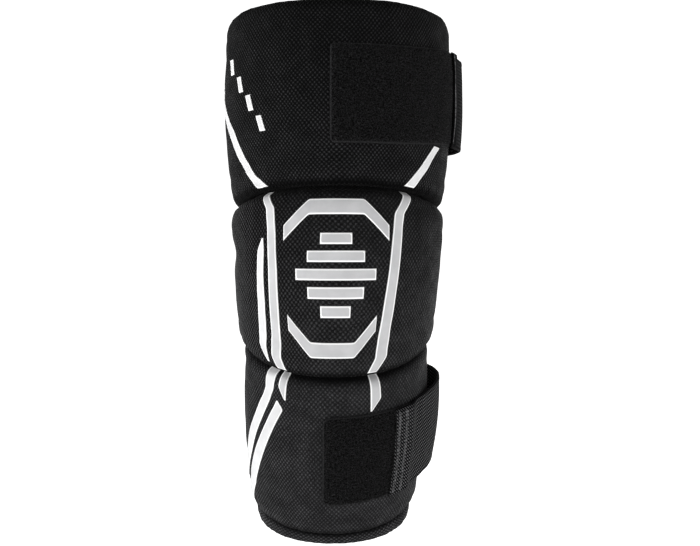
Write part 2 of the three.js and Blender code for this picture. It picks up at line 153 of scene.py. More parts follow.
def new_object(
    name: str,
    points: Array,
    faces: Array,
    corners: Optional[Array] = None,
    marks: Optional[dict[str, Array]] = None,
) -> bpy.types.Object:
    """Make a smooth-shaded mesh object.

    Args:
        name: The object's name.
        points: Vertices in millimetres.
        faces: Vertex numbers of each four-sided face.
        corners: Map coordinates of each face corner.
        marks: Numbers or vectors by name, one for each vertex, that the materials and node trees read.

    Returns:
        The object, linked to the scene.
    """
    mesh = bpy.data.meshes.new(name)
    mesh.vertices.add(len(points))
    mesh.vertices.foreach_set("co", (np.asarray(points, float) * MM).ravel())
    mesh.loops.add(faces.size)
    mesh.loops.foreach_set("vertex_index", faces.ravel())
    mesh.polygons.add(len(faces))
    mesh.polygons.foreach_set("loop_start", np.arange(0, faces.size, faces.shape[1]))
    mesh.polygons.foreach_set("use_smooth", np.ones(len(faces), bool))
    if corners is not None:
        mesh.uv_layers.new(name=WEAVE_MAP).data.foreach_set("uv", corners.ravel())
    for key, values in (marks or {}).items():
        kind, slot = ("FLOAT", "value") if values.ndim == 1 else ("FLOAT_VECTOR", "vector")
        mesh.attributes.new(key, kind, "POINT").data.foreach_set(slot, values.astype(float).ravel())
    mesh.update(calc_edges=True)
    mesh.validate()
    return linked(name, mesh)


def strips(first: Array, second: Array) -> Array:
    """Four-sided faces between two rows of vertex numbers."""
    return np.stack([first[:-1], second[:-1], second[1:], first[1:]], axis=1)


@dataclass
class Wall:
    """A closed wall between an outer and an inner grid, with a rounded rim.

    Fields are grids with rows down the arm and columns from -X to +X over the front. weave holds the map
    coordinates in millimetres, with one more column than the points where the wall is a ring.
    """

    outer: Array
    inner: Array
    weave: Array
    ring: bool = False
    bulge: float = 0.6
    rim_rows: int = 3
    marks: dict[str, Array] = field(default_factory=dict)

    def build(self, name: str) -> bpy.types.Object:
        """Make the wall's object under a name."""
        rows, columns = self.outer.shape[:2]
        wide = self.weave.shape[1]
        number = np.arange(rows * columns).reshape(rows, columns)
        place = np.arange(rows * wide).reshape(rows, wide)
        if self.ring:
            number = np.concatenate([number, number[:, :1]], axis=1)
        points = [self.outer.reshape(-1, 3), self.inner.reshape(-1, 3)]
        maps = [self.weave.reshape(-1, 2)]
        marks = {key: [grid.ravel(), grid.ravel()] for key, grid in self.marks.items()}
        inward = rows * columns
        faces, corners = [], []
        for i in range(rows - 1):
            faces += [strips(number[i], number[i + 1]), strips(number[i + 1], number[i]) + inward]
            corners += [strips(place[i], place[i + 1]), strips(place[i + 1], place[i])]
        for loop, spots, out, way in self._rims(number, place):
            outer, inner = points[0][loop], points[1][loop]
            depth = np.linalg.norm(outer - inner, axis=1, keepdims=True)
            last, last_spots = loop, spots
            for k in range(1, self.rim_rows + 2):
                share = k / (self.rim_rows + 1)
                fresh_spots = sum(map(len, maps)) + np.arange(len(spots))
                maps.append(maps[0][spots] + way * depth * share)
                fresh = loop + inward
                if k <= self.rim_rows:
                    fresh = sum(map(len, points)) + np.arange(len(loop))
                    ring = outer + (inner - outer) * share + out * self.bulge * math.sin(math.pi * share)
                    if loop[0] == loop[-1]:
                        ring, fresh = ring[:-1], np.append(fresh[:-1], fresh[0])
                    points.append(ring)
                    for key, grid in self.marks.items():
                        marks[key].append(grid.ravel()[loop][: len(ring)])
                faces.append(strips(fresh, last))
                corners.append(strips(fresh_spots, last_spots))
                last, last_spots = fresh, fresh_spots
        joined = {key: np.concatenate(parts) for key, parts in marks.items()}
        coords = np.concatenate(maps)[np.concatenate(corners)]
        return new_object(name, np.concatenate(points), np.concatenate(faces), coords, joined)

    def _rims(self, number: Array, place: Array) -> list[tuple[Array, Array, Array, Array]]:
        """The wall's open edges: vertex numbers, map numbers, the way out, and that way on the map."""
        flat = self.outer.reshape(-1, 3)
        columns = self.outer.shape[1]
        if self.ring:
            top, bottom = number[0], number[-1]
            ups = unit(flat[top] - flat[number[1]])
            downs = unit(flat[bottom] - flat[number[-2]])
            one = np.ones((len(top), 1))
            return [
                (top, place[0], ups, one * [0.0, 1.0]),
                (bottom[::-1], place[-1][::-1], downs[::-1], one * [0.0, -1.0]),
            ]
        rows = len(number)
        path = [(0, j) for j in range(columns)] + [(i, columns - 1) for i in range(1, rows)]
        path += [(rows - 1, j) for j in range(columns - 2, -1, -1)]
        path += [(i, 0) for i in range(rows - 2, -1, -1)]
        i, j = np.array(path).T
        near_i, near_j = np.clip(i, 1, rows - 2), np.clip(j, 1, columns - 2)
        inside, loop = number[near_i, near_j], number[i, j]
        way = np.stack([np.sign(j - near_j), -np.sign(i - near_i)], axis=1)
        return [(loop, place[i, j], unit(flat[loop] - flat[inside]), way.astype(float))]


# The arm's form.


class Reach(NamedTuple):
    """How far the sleeve's outer face is from the centreline."""

    side: float
    front: float
    back: float


BICEPS_REACH = Reach(52, 47, 44)
ELBOW_REACH = Reach(44.6, 43, 38)
FOREARM_REACH = Reach(42.8, 38, 35)
CUFF_REACH = Reach(39, 35, 32)

BICEPS_LENGTH = 102.0
ELBOW_LENGTH = 67.0
FOREARM_LENGTH = 94.5
HEM_HEIGHT = 11.0
UPPER_CREASE = BICEPS_LENGTH
LOWER_CREASE = BICEPS_LENGTH + ELBOW_LENGTH
HEM_LINE = LOWER_CREASE + FOREARM_LENGTH
SLEEVE_END = HEM_LINE + HEM_HEIGHT
ORIGIN_AT = BICEPS_LENGTH + ELBOW_LENGTH / 2

SLEEVE_WALL = 2.5
SEWN_EDGE = 1.8
SEAM_INSET = 3.2
PIECE_GAP = 0.4
STRAP_GAP = 0.5
EASE_DEGREES = 16.0


class Section(NamedTuple):
    """One section of the sleeve: its place, shares of a reach, shift towards +X, lean and outline power."""

    at: float
    reach: Reach
    side: float
    front: float
    back: float
    shift: float
    lean: float
    power: float


class Limb:
    """The bent arm that every piece is laid out on."""

    SECTIONS = (
        Section(0, BICEPS_REACH, 0.98, 0.97, 1, 0.01, 3, 2.2),
        Section(BICEPS_LENGTH / 2, BICEPS_REACH, 1, 1, 0.98, 0.01, 2, 2.2),
        Section(UPPER_CREASE, ELBOW_REACH, 1.07, 1.03, 1.04, 0.01, 2, 2.3),
        Section(ORIGIN_AT, ELBOW_REACH, 1.01, 1, 1, 0, -2, 2.5),
        Section(LOWER_CREASE, FOREARM_REACH, 1, 1.02, 1, -0.01, -9, 2.3),
        Section(LOWER_CREASE + FOREARM_LENGTH / 2, FOREARM_REACH, 1, 1, 1, -0.02, -13, 2.2),
        Section(HEM_LINE, CUFF_REACH, 1, 1, 1, -0.06, -17, 2.1),
        Section(SLEEVE_END, CUFF_REACH, 0.99, 1, 1, -0.06, -17, 2.1),
    )
    STEPS = 128

    def __init__(self) -> None:
        """Read the sections and sum the centreline, shifted so that the elbow's middle is the origin."""
        self.places = np.array([row.at for row in self.SECTIONS])
        self.columns = {
            "side": np.array([row.side * row.reach.side for row in self.SECTIONS]),
            "front": np.array([row.front * row.reach.front for row in self.SECTIONS]),
            "back": np.array([row.back * row.reach.back for row in self.SECTIONS]),
            "shift": np.array([row.shift * row.reach.side for row in self.SECTIONS]),
            "lean": np.radians([row.lean for row in self.SECTIONS]),
            "power": np.array([row.power for row in self.SECTIONS]),
        }
        step = SLEEVE_END / self.STEPS
        leans = self.column("lean", (np.arange(self.STEPS) + 0.5) * step)
        self.steps = np.arange(self.STEPS + 1) * step
        self.centre_y = np.concatenate([[0], np.cumsum(-step * np.sin(leans))])
        self.centre_z = np.concatenate([[0], np.cumsum(-step * np.cos(leans))])
        self.centre_y -= np.interp(ORIGIN_AT, self.steps, self.centre_y)
        self.centre_z -= np.interp(ORIGIN_AT, self.steps, self.centre_z)

    def column(self, name: str, at: Values) -> Array:
        """One column of the section table at places along the centreline."""
        return through(self.places, self.columns[name], at)

    def over(self, at: Values, angle: Values, lift: Values) -> Array:
        """Points over the sleeve.

        Args:
            at: Millimetres along the centreline.
            angle: Degrees from the front towards +X.
            lift: Millimetres over the sleeve's outer face.

        Returns:
            The points, in millimetres, with x, y and z on the last axis.
        """
        at, angle, lift = np.broadcast_arrays(at, angle, lift)
        side, power, lean = self.column("side", at), self.column("power", at), self.column("lean", at)
        across, forward = np.sin(np.radians(angle)), np.cos(np.radians(angle))
        depth = np.where(forward > 0, self.column("front", at), self.column("back", at))
        x = np.sign(across) * np.abs(across) ** (2 / power)
        f = np.sign(forward) * np.abs(forward) ** (2 / power)
        out_x = np.sign(x) * np.abs(x) ** (power - 1) / side
        out_y = np.sign(f) * np.abs(f) ** (power - 1) / depth
        length = np.hypot(out_x, out_y)
        ahead = f * depth + lift * out_y / length
        y = np.interp(at, self.steps, self.centre_y) - ahead * np.cos(lean)
        z = np.interp(at, self.steps, self.centre_z) + ahead * np.sin(lean)
        return np.stack([self.column("shift", at) + x * side + lift * out_x / length, y, z], axis=-1)

    def out(self, at: Values, angle: Values) -> Array:
        """Unit way out of the sleeve."""
        return unit(self.over(at, angle, 1.0) - self.over(at, angle, 0.0))

    def degree(self, at: Values, angle: Values, lift: Values) -> Array:
        """Millimetres that one degree covers at a place."""
        return np.linalg.norm(self.over(at, angle + 0.5, lift) - self.over(at, angle - 0.5, lift), axis=-1)


limb = Limb()
Line = Callable[[Values], Values]


def cross_line(at: float, drop: float) -> Line:
    """A line round the arm, as places along the centreline at an angle. Its drop eases off behind."""

    def line(angle: Values) -> Values:
        """Where the line runs at an angle."""
        forward = np.cos(np.radians(angle))
        return at + drop * (forward + np.hypot(forward, 0.2)) / 2

    return line


top_rim = cross_line(0, 0.5)
upper_crease = cross_line(UPPER_CREASE, -7.5)
lower_crease = cross_line(LOWER_CREASE, 13.5)
hem_line = cross_line(HEM_LINE, 5)
sleeve_end = cross_line(SLEEVE_END, 3)


class Edge(NamedTuple):
    """A pad's edge: how wide its rounding is, and the share of foam left there."""

    rounding: float
    left: float

    def share(self, distance: Array) -> Array:
        """Foam share at a distance from the edge."""
        short = 1 - np.clip(distance / self.rounding, 0, 1)
        return self.left + (1 - self.left) * np.sqrt(1 - short * short)


@dataclass
class PadForm:
    """One pad's outline and foam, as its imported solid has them."""

    name: str
    start: Line
    end: Line
    foam: float
    wrap: float
    top: Edge
    bottom: Edge
    ends: Edge

    def lift(self, at: Array, angle: Array) -> Array:
        """Height of the pad's outer face over the sleeve."""
        degree = limb.degree(at, angle, self.foam)
        share = (
            self.top.share(at - self.start(angle))
            * self.bottom.share(self.end(angle) - at)
            * self.ends.share((self.wrap - np.abs(angle)) * degree)
        )
        return PIECE_GAP + np.maximum(SEWN_EDGE, self.foam * share)

    def place(self, along: Array, angle: Array) -> Array:
        """Place along the centreline of a share of the pad's length."""
        start, end = self.start(angle) + PIECE_GAP / 2, self.end(angle) - PIECE_GAP / 2
        return start + (end - start) * along


BICEPS = PadForm(
    "biceps_pad", top_rim, upper_crease, foam=9, wrap=122,
    top=Edge(8.1, 0.3), bottom=Edge(12.15, 0.6), ends=Edge(19.8, 0.2),
)
ELBOW = PadForm(
    "elbow_pad", upper_crease, lower_crease, foam=10, wrap=112,
    top=Edge(12, 0.32), bottom=Edge(10, 0.6), ends=Edge(22, 0.2),
)
FOREARM = PadForm(
    "forearm_pad", lower_crease, hem_line, foam=7, wrap=118,
    top=Edge(9.1, 0.38), bottom=Edge(9.1, 0.45), ends=Edge(19.95, 0.26),
)


def covered_lift(at: Array, angle: Array) -> Array:
    """Height of what lies on the sleeve, easing down to the bare sleeve past a pad's end."""
    at, angle = np.broadcast_arrays(np.asarray(at, float), np.asarray(angle, float))
    turned = (angle + 180) % 360 - 180
    total = np.zeros(at.shape)
    for pad in (BICEPS, ELBOW, FOREARM):
        here = (at >= pad.start(turned)) & (at < pad.end(turned))
        here |= (pad is BICEPS) & (at < pad.start(turned)) | (pad is FOREARM) & (at >= pad.end(turned))
        held = np.clip(turned, -pad.wrap, pad.wrap)
        beyond = np.abs(turned) - pad.wrap
        lift = pad.lift(at, held) * (1 - smoothstep(beyond, 0, EASE_DEGREES))
        total = np.where(here, lift, total)
    return total


# Finishes.

Colour = tuple[float, float, float]
Socket = bpy.types.NodeSocket


class Nodes:
    """A node tree under construction, with short calls for what the trees here share."""

    def __init__(self, tree: bpy.types.NodeTree) -> None:
        """Take up a tree."""
        self.tree = tree

    def node(self, kind: str, inputs: Optional[dict] = None, **settings: object) -> bpy.types.Node:
        """Add a node.

        Args:
            kind: The node's type.
            inputs: Values or sockets by input name or number.
            settings: The node's own properties.

        Returns:
            The new node.
        """
        made = self.tree.nodes.new(kind)
        for key, value in settings.items():
            setattr(made, key, value)
        for key, value in (inputs or {}).items():
            self.feed(made.inputs[key], value)
        return made

    def feed(self, socket: Socket, value: object) -> None:
        """Link a socket, or set its value."""
        if isinstance(value, bpy.types.NodeSocket):
            self.tree.links.new(value, socket)
        else:
            socket.default_value = value

    def math(self, operation: str, first: object, second: object = 0.0) -> Socket:
        """One math node's result."""
        return self.node("ShaderNodeMath", {0: first, 1: second}, operation=operation).outputs[0]

    def times(self, *factors: object) -> Socket:
        """The product of some values."""
        return reduce(partial(self.math, "MULTIPLY"), factors)

    def eased(self, value: Socket, low: float, high: float, start: float = 0.0, end: float = 1.0) -> Socket:
        """A value eased from start at low to end at high."""
        inputs = {"Value": value, "From Min": low, "From Max": high, "To Min": start, "To Max": end}
        return self.node("ShaderNodeMapRange", inputs, interpolation_type="SMOOTHSTEP").outputs[0]


class Shade(Nodes):
    """A material under construction."""

    def __init__(self, name: str) -> None:
        """Start a material with a bare shader."""
        self.material = bpy.data.materials.new(name)
        self.material.use_nodes = True
        super().__init__(self.material.node_tree)
        self.shader = self.tree.nodes["Principled BSDF"]

    def noise(self, vector: Socket, scale: float, detail: float = 2.0) -> Socket:
        """Even noise between 0 and 1."""
        inputs = {"Vector": vector, "Scale": scale, "Detail": detail, "Roughness": 0.6}
        return self.node("ShaderNodeTexNoise", inputs).outputs[0]

    def mixed(self, share: object, first: object, second: object) -> Socket:
        """Two colours mixed by a share."""
        node = self.node("ShaderNodeMix", data_type="RGBA")
        for socket, value in zip((node.inputs[0], node.inputs[6], node.inputs[7]), (share, first, second)):
            self.feed(socket, (*value, 1.0) if isinstance(value, tuple) else value)
        return node.outputs[2]

    def weave_map(self) -> Socket:
        """The piece's own map, in millimetres."""
        return self.node("ShaderNodeUVMap", uv_map=WEAVE_MAP).outputs[0]

    def mark(self, name: str) -> Socket:
        """A value that the piece's mesh carries."""
        return self.node("ShaderNodeAttribute", attribute_name=name).outputs["Fac"]

    def vector_math(self, operation: str, inputs: dict) -> Socket:
        """One vector math node's result."""
        return self.node("ShaderNodeVectorMath", inputs, operation=operation).outputs[0]

    def threads(self, amount: float, scale: float) -> tuple[Socket, Socket, Socket]:
        """The piece's map with its threads pulled a little out of line.

        Args:
            amount: Millimetres that a thread strays.
            scale: Strays per millimetre.

        Returns:
            The map's vector, and the places round and down the piece.
        """
        base = self.weave_map()
        stray = self.node("ShaderNodeTexNoise", {"Vector": base, "Scale": scale, "Detail": 1.0})
        centred = self.vector_math("SUBTRACT", {0: stray.outputs["Color"], 1: (0.5, 0.5, 0.5)})
        pulled = self.vector_math("SCALE", {0: centred, "Scale": 2 * amount})
        moved = self.vector_math("ADD", {0: base, 1: pulled})
        split = self.node("ShaderNodeSeparateXYZ", {0: moved})
        return moved, split.outputs[0], split.outputs[1]

    def wave(self, value: Socket, pitch: float) -> Socket:
        """Cosine wave with a pitch in millimetres."""
        return self.math("COSINE", self.times(value, 2 * math.pi / pitch))

    def finish(self, colour: Socket, height: Socket, depth: float, **sockets: object) -> bpy.types.Material:
        """Wire colour and relief into the shader.

        Args:
            colour: The base colour.
            height: The relief, from 0 to 1.
            depth: The relief's depth in millimetres.
            sockets: Values for the shader's own sockets, with underscores for spaces.

        Returns:
            The finished material.
        """
        self.feed(self.shader.inputs["Base Color"], colour)
        bump_inputs = {"Height": height, "Strength": 1.0, "Distance": depth * MM}
        self.feed(self.shader.inputs["Normal"], self.node("ShaderNodeBump", bump_inputs).outputs[0])
        for key, value in sockets.items():
            self.feed(self.shader.inputs[key.replace("_", " ")], value)
        return self.material


@dataclass(frozen=True)
class SpacerMesh:
    """Coarse dimpled mesh over foam: staggered raised knots on a dark ground.

    The mesh's mark "knotty" says how far its knots stand out, in relief and in painted light, "pale" how much
    painted light they catch, and "sewn" how many millimetres off the seam a place is; near the seam the
    colour is darkened with painted shade.
    """

    name: str = "spacer_mesh"
    ground: Colour = (0.0012, 0.0012, 0.00125)
    knot: Colour = (0.033, 0.033, 0.0343)
    pitch_round: float = 2.0
    pitch_down: float = 2.5
    depth: float = 0.5
    stray: float = 0.9
    flat: Colour = (0.36, 0.36, 0.36)

    def build(self) -> bpy.types.Material:
        """Make the material."""
        s = Shade(self.name)
        threads, across, down = s.threads(self.stray, 0.12)
        lattice = s.times(s.wave(across, self.pitch_round), s.wave(down, self.pitch_down))
        # How far the knots stand out, in relief and in colour; stronger towards -X as painted light.
        knots = s.mixed(s.mark("knots_and_painted_side_light"), self.flat, s.eased(lattice, -0.3, 0.9))
        fibre = s.noise(threads, 2.4, 4.0)
        worn = s.eased(s.noise(s.weave_map(), 0.09, 4.0), 0.3, 0.72, 0.65, 1.25)
        # Random tone, times painted light towards one end and on the -X wing, times painted shade within 5 mm
        # of the seam.
        clear = s.times(worn, s.mark("painted_light"), s.eased(s.mark("sewn"), 0.3, 5.0, 0.03, 1.0))
        caught = s.times(knots, s.eased(fibre, 0.3, 0.7, 0.15, 1.5), clear)
        return s.finish(
            s.mixed(caught, self.ground, self.knot),
            s.math("ADD", knots, s.times(fibre, 0.25)),
            self.depth,
            Roughness=s.eased(caught, 0.0, 0.8, 0.9, 0.4),
            Specular_IOR_Level=0.03,
            Sheen_Weight=0.02,
            Sheen_Roughness=0.3,
        )


@dataclass(frozen=True)
class RibKnit:
    """Fine knit with ribs that run up the arm."""

    name: str = "stretch_knit"
    ground: Colour = (0.003, 0.003, 0.0032)
    thread: Colour = (0.026, 0.026, 0.027)
    pitch_round: float = 1.1
    pitch_down: float = 1.3
    depth: float = 0.22
    stray: float = 0.2

    def build(self) -> bpy.types.Material:
        """Make the material."""
        s = Shade(self.name)
        threads, across, down = s.threads(self.stray, 0.12)
        ribs = s.eased(s.wave(across, self.pitch_round), -0.8, 0.9)
        turn = s.math("ADD", down, s.times(across, 0.5))
        loops = s.eased(s.wave(turn, self.pitch_down), -0.7, 0.8)
        knit = s.times(ribs, s.math("ADD", s.times(loops, 0.6), 0.4))
        fibre = s.noise(threads, 6.0, 2.0)
        return s.finish(
            s.mixed(s.times(knit, s.eased(fibre, 0.2, 0.8, 0.5, 1.1)), self.ground, self.thread),
            s.math("ADD", knit, s.times(fibre, 0.2)),
            self.depth,
            Roughness=0.85,
            Specular_IOR_Level=0.05,
            Sheen_Weight=0.02,
            Sheen_Roughness=0.3,
        )


@dataclass(frozen=True)
class Webbing:
    """Woven elastic: fine slanted ribs, tighter along both edges, with painted shade, darker and flatter,
    where the mark "open" is low.
    """

    name: str = "elastic_webbing"
    ground: Colour = (0.0005, 0.0005, 0.0006)
    rib: Colour = (0.15, 0.15, 0.155)
    pitch: float = 1.3
    pick_pitch: float = 1.9
    slant: float = 0.75
    depth: float = 0.4
    stray: float = 0.12

    def build(self) -> bpy.types.Material:
        """Make the material."""
        s = Shade(self.name)
        threads, across, down = s.threads(self.stray, 0.15)
        leaning = s.math("ADD", across, s.times(down, self.slant))
        ribs = s.eased(s.wave(leaning, self.pitch), -0.2, 0.9)
        picks = s.eased(s.wave(down, self.pick_pitch), -0.8, 0.7, 0.15, 1.0)
        # Painted shade on the band beside the tab darkens and flattens the ribs here.
        border = s.times(s.eased(s.mark("edge"), 1.2, 2.2, 0.55, 1.0), s.mark("open"))
        fibre = s.noise(threads, 6.0, 2.0)
        relief = s.times(ribs, picks, border)
        return s.finish(
            s.mixed(s.times(relief, s.eased(fibre, 0.2, 0.8, 0.5, 1.1)), self.ground, self.rib),
            relief,
            self.depth,
            Roughness=0.7,
            Specular_IOR_Level=0.008,
        )


@dataclass(frozen=True)
class Fleece:
    """Short matte pile on a woven backing whose border stays bare and a little paler."""

    name: str = "loop_fleece"
    ground: Colour = (0.0006, 0.0006, 0.0006)
    tuft: Colour = (0.018, 0.018, 0.0185)
    border: Colour = (0.026, 0.026, 0.027)
    depth: float = 0.5

    def build(self) -> bpy.types.Material:
        """Make the material."""
        s = Shade(self.name)
        base, edge = s.weave_map(), s.mark("edge")
        tufts = s.eased(s.noise(base, 1.2, 4.0), 0.4, 0.68)
        rim = s.times(s.eased(edge, -0.2, 0.2), s.eased(edge, 0.75, 0.4))
        threads = s.eased(s.noise(base, 2.5, 3.0), 0.3, 0.7, 0.4, 1.0)
        return s.finish(
            s.mixed(s.times(rim, threads), s.mixed(tufts, self.ground, self.tuft), self.border),
            tufts,
            self.depth,
            Roughness=0.95,
            Specular_IOR_Level=0.02,
            Sheen_Weight=0.01,
            Sheen_Roughness=0.4,
        )


@dataclass(frozen=True)
class Thread:
    """Twisted thread or a single fibre of the pile."""

    name: str
    colour: Colour
    depth: float = 0.06
    dim: float = 0.2

    def build(self) -> bpy.types.Material:
        """Make the material."""
        s = Shade(self.name)
        place = s.node("ShaderNodeTexCoord").outputs["Object"]
        shadow = tuple(self.dim * c for c in self.colour)
        return s.finish(
            s.mixed(s.eased(s.noise(place, 800.0, 1.0), 0.35, 0.65), shadow, self.colour),
            s.noise(place, 2600.0, 1.0),
            self.depth,
            Roughness=0.7,
            Specular_IOR_Level=0.06,
            Sheen_Weight=0.03,
            Sheen_Roughness=0.3,
        )


@dataclass(frozen=True)
class BondedFilm:
    """Satin film pressed on the fabric, with a painted highlight along its cut edge and a thin painted shade
    line round it.
    """

    name: str
    face: Colour
    # Painted highlight along the cut edge, and painted shade in a thin line round the film.
    rim: Colour = (0.8, 0.8, 0.8)
    painted_shade_line: Colour = (0.002, 0.002, 0.002)
    depth: float = 0.05

    def build(self) -> bpy.types.Material:
        """Make the material."""
        s = Shade(self.name)
        base, edge = s.weave_map(), s.mark("edge")
        mottle = s.eased(s.noise(base, 0.12, 3.0), 0.3, 0.7, 0.93, 1.05)
        tone = s.vector_math("SCALE", {0: self.face, "Scale": mottle})
        # Painted highlight along the cut edge, then painted shade in a thin line at the very edge.
        with_painted_highlight = s.mixed(s.eased(edge, 0.35, 0.75), self.rim, tone)
        colour = s.mixed(s.eased(edge, -0.16, 0.02), self.painted_shade_line, with_painted_highlight)
        return s.finish(colour, s.noise(base, 2.2, 3.0), self.depth, Roughness=0.42, Specular_IOR_Level=0.35)


Finish = Union[SpacerMesh, RibKnit, Webbing, Fleece, Thread, BondedFilm]

SPACER_MESH = SpacerMesh()
# A lighter copy of the spacer mesh: painted light on the forearm pad.
FOREARM_PAINTED_LIGHT_MESH = SpacerMesh("forearm_painted_light_mesh", (0.003, 0.003, 0.0032), (0.054, 0.054, 0.0562))
HEM_KNIT = SpacerMesh("hem_knit", (0.003, 0.003, 0.0032), (0.075, 0.075, 0.078), 2.4, 1.8, 0.4)
STRETCH_KNIT = RibKnit()
ELASTIC_WEBBING = Webbing()
LOOP_FLEECE = Fleece()
PILE_FIBRE = Thread("pile_fibre", (0.032, 0.032, 0.0333))
BLACK_THREAD = Thread("black_thread", (0.12, 0.12, 0.124))
FILM_WHITE = BondedFilm("film_white", (0.5, 0.5, 0.505))
FILM_GREY = BondedFilm("film_grey", (0.4, 0.4, 0.407))


@cache
def material_of(finish: Finish) -> bpy.types.Material:
    """The finish's material, built once."""
    return finish.build()


def dress(piece: bpy.types.Object, finish: Finish, slot: str, *nodes: str) -> bpy.types.Object:
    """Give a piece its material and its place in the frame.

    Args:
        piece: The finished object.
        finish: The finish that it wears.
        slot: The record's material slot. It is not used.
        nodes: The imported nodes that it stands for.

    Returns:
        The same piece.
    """
    piece.data.materials.clear()
    piece.data.materials.append(material_of(finish))
    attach(piece, "root")
    if nodes:
        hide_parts(*nodes)
    log.info("%s: %d faces", piece.name, len(piece.data.polygons))
    return piece


# Repeats.


class NodeRecipe(Nodes):
    """A Geometry Nodes tree under construction, with named inputs for its sizes."""

    def __init__(self, name: str, finish: Finish) -> None:
        """Start a tree that takes and gives geometry."""
        super().__init__(bpy.data.node_groups.new(name, "GeometryNodeTree"))
        for way in ("INPUT", "OUTPUT"):
            self.tree.interface.new_socket("Geometry", in_out=way, socket_type="NodeSocketGeometry")
        self.inputs = self.tree.nodes.new("NodeGroupInput")
        self.outputs = self.tree.nodes.new("NodeGroupOutput")
        self.geometry = self.inputs.outputs[0]
        self.identifiers: dict[str, str] = {}
        self.material = material_of(finish)

    def size(self, name: str) -> Socket:
        """Add a named size."""
        item = self.tree.interface.new_socket(name, in_out="INPUT", socket_type="NodeSocketFloat")
        self.identifiers[name] = item.identifier
        return self.inputs.outputs[name]

    def read(self, name: str, kind: str) -> Socket:
        """A named value of the mesh."""
        return self.node("GeometryNodeInputNamedAttribute", {"Name": name}, data_type=kind).outputs[0]

    def grow(
        self, base: bpy.types.Object, name: str, instances: Socket, sizes: dict[str, float]
    ) -> bpy.types.Object:
        """End the tree and run it.

        Args:
            base: The mesh that the tree reads. It is left as it was.
            name: The new piece's name.
            instances: What the tree has placed.
            sizes: Values of the named sizes.

        Returns:
            The result as a plain mesh object.
        """
        realized = self.node("GeometryNodeRealizeInstances", {0: instances}).outputs[0]
        smooth = self.node("GeometryNodeSetShadeSmooth", {"Geometry": realized}).outputs[0]
        painted = self.node("GeometryNodeSetMaterial", {"Geometry": smooth, "Material": self.material})
        self.feed(self.outputs.inputs[0], painted.outputs[0])
        modifier = base.modifiers.new("grow", "NODES")
        modifier.node_group = self.tree
        for key, value in sizes.items():
            modifier[self.identifiers[key]] = value
        graph = bpy.context.evaluated_depsgraph_get()
        mesh = bpy.data.meshes.new_from_object(base.evaluated_get(graph), depsgraph=graph)
        base.modifiers.remove(modifier)
        mesh.name = name
        return linked(name, mesh)


class Stitch(NamedTuple):
    """One stitch: where it lies, which way it runs, and which way is out of the fabric."""

    at: Array
    run: Array
    out: Array


STITCH_SIGHT = 0.4


def stitch_line(points: Array, outs: Array, pitch: float, lean: float = 0.0) -> list[Stitch]:
    """Stitches evenly spaced down a line.

    Args:
        points: The line, in millimetres.
        outs: The way out of the fabric at each point.
        pitch: Millimetres from stitch to stitch.
        lean: Degrees that each stitch is turned out of the line.

    Returns:
        The stitches.
    """
    steps = np.linalg.norm(np.diff(points, axis=0), axis=1)
    run = np.concatenate([[0], np.cumsum(steps)])
    count = max(2, int(run[-1] / pitch))
    at = (np.arange(count) + 0.5) * run[-1] / count
    ahead, behind = np.minimum(at + STITCH_SIGHT, run[-1]), np.maximum(at - STITCH_SIGHT, 0)
    ways = unit(between(ahead, run, points) - between(behind, run, points))
    outs = unit(between(at, run, outs))
    turn = math.radians(lean)
    leaned = ways * math.cos(turn) + np.cross(outs, ways) * math.sin(turn)
    return [Stitch(*parts) for parts in zip(between(at, run, points), leaned, outs)]


def sew(name: str, stitches: Sequence[Stitch], length: float, thickness: float) -> bpy.types.Object:
    """Grow a piece of thread for each stitch.

    Args:
        name: The piece's name.
        stitches: Where they lie.
        length: Millimetres from hole to hole.
        thickness: The thread's, in millimetres.

    Returns:
        The stitches as one mesh.
    """
    at, run, out = (np.array(column) for column in zip(*stitches))
    base = new_object(name + "_holes", at, np.empty((0, 4), int), marks={"run": run, "out": out})
    recipe = NodeRecipe(name + "_recipe", BLACK_THREAD)
    long, thick = recipe.size("Length"), recipe.size("Thickness")
    bead = recipe.node("GeometryNodeMeshUVSphere", {"Segments": 7, "Rings": 5, "Radius": 0.5}).outputs[0]
    scale = recipe.node("ShaderNodeCombineXYZ", {0: long, 1: thick, 2: thick}).outputs[0]
    dots = recipe.node("GeometryNodeMeshToPoints", {0: recipe.geometry}).outputs[0]
    ways = {0: recipe.read("out", "FLOAT_VECTOR"), 1: recipe.read("run", "FLOAT_VECTOR")}
    turned = recipe.node("FunctionNodeAxesToRotation", ways, primary_axis="Z", secondary_axis="X").outputs[0]
    beads = {"Points": dots, "Instance": bead, "Rotation": turned, "Scale": scale}
    placed = recipe.node("GeometryNodeInstanceOnPoints", beads).outputs[0]
    made = recipe.grow(base, name, placed, {"Length": length * MM, "Thickness": thickness * MM})
    bpy.data.objects.remove(base)
    return dress(made, BLACK_THREAD, "elastic_webbing")


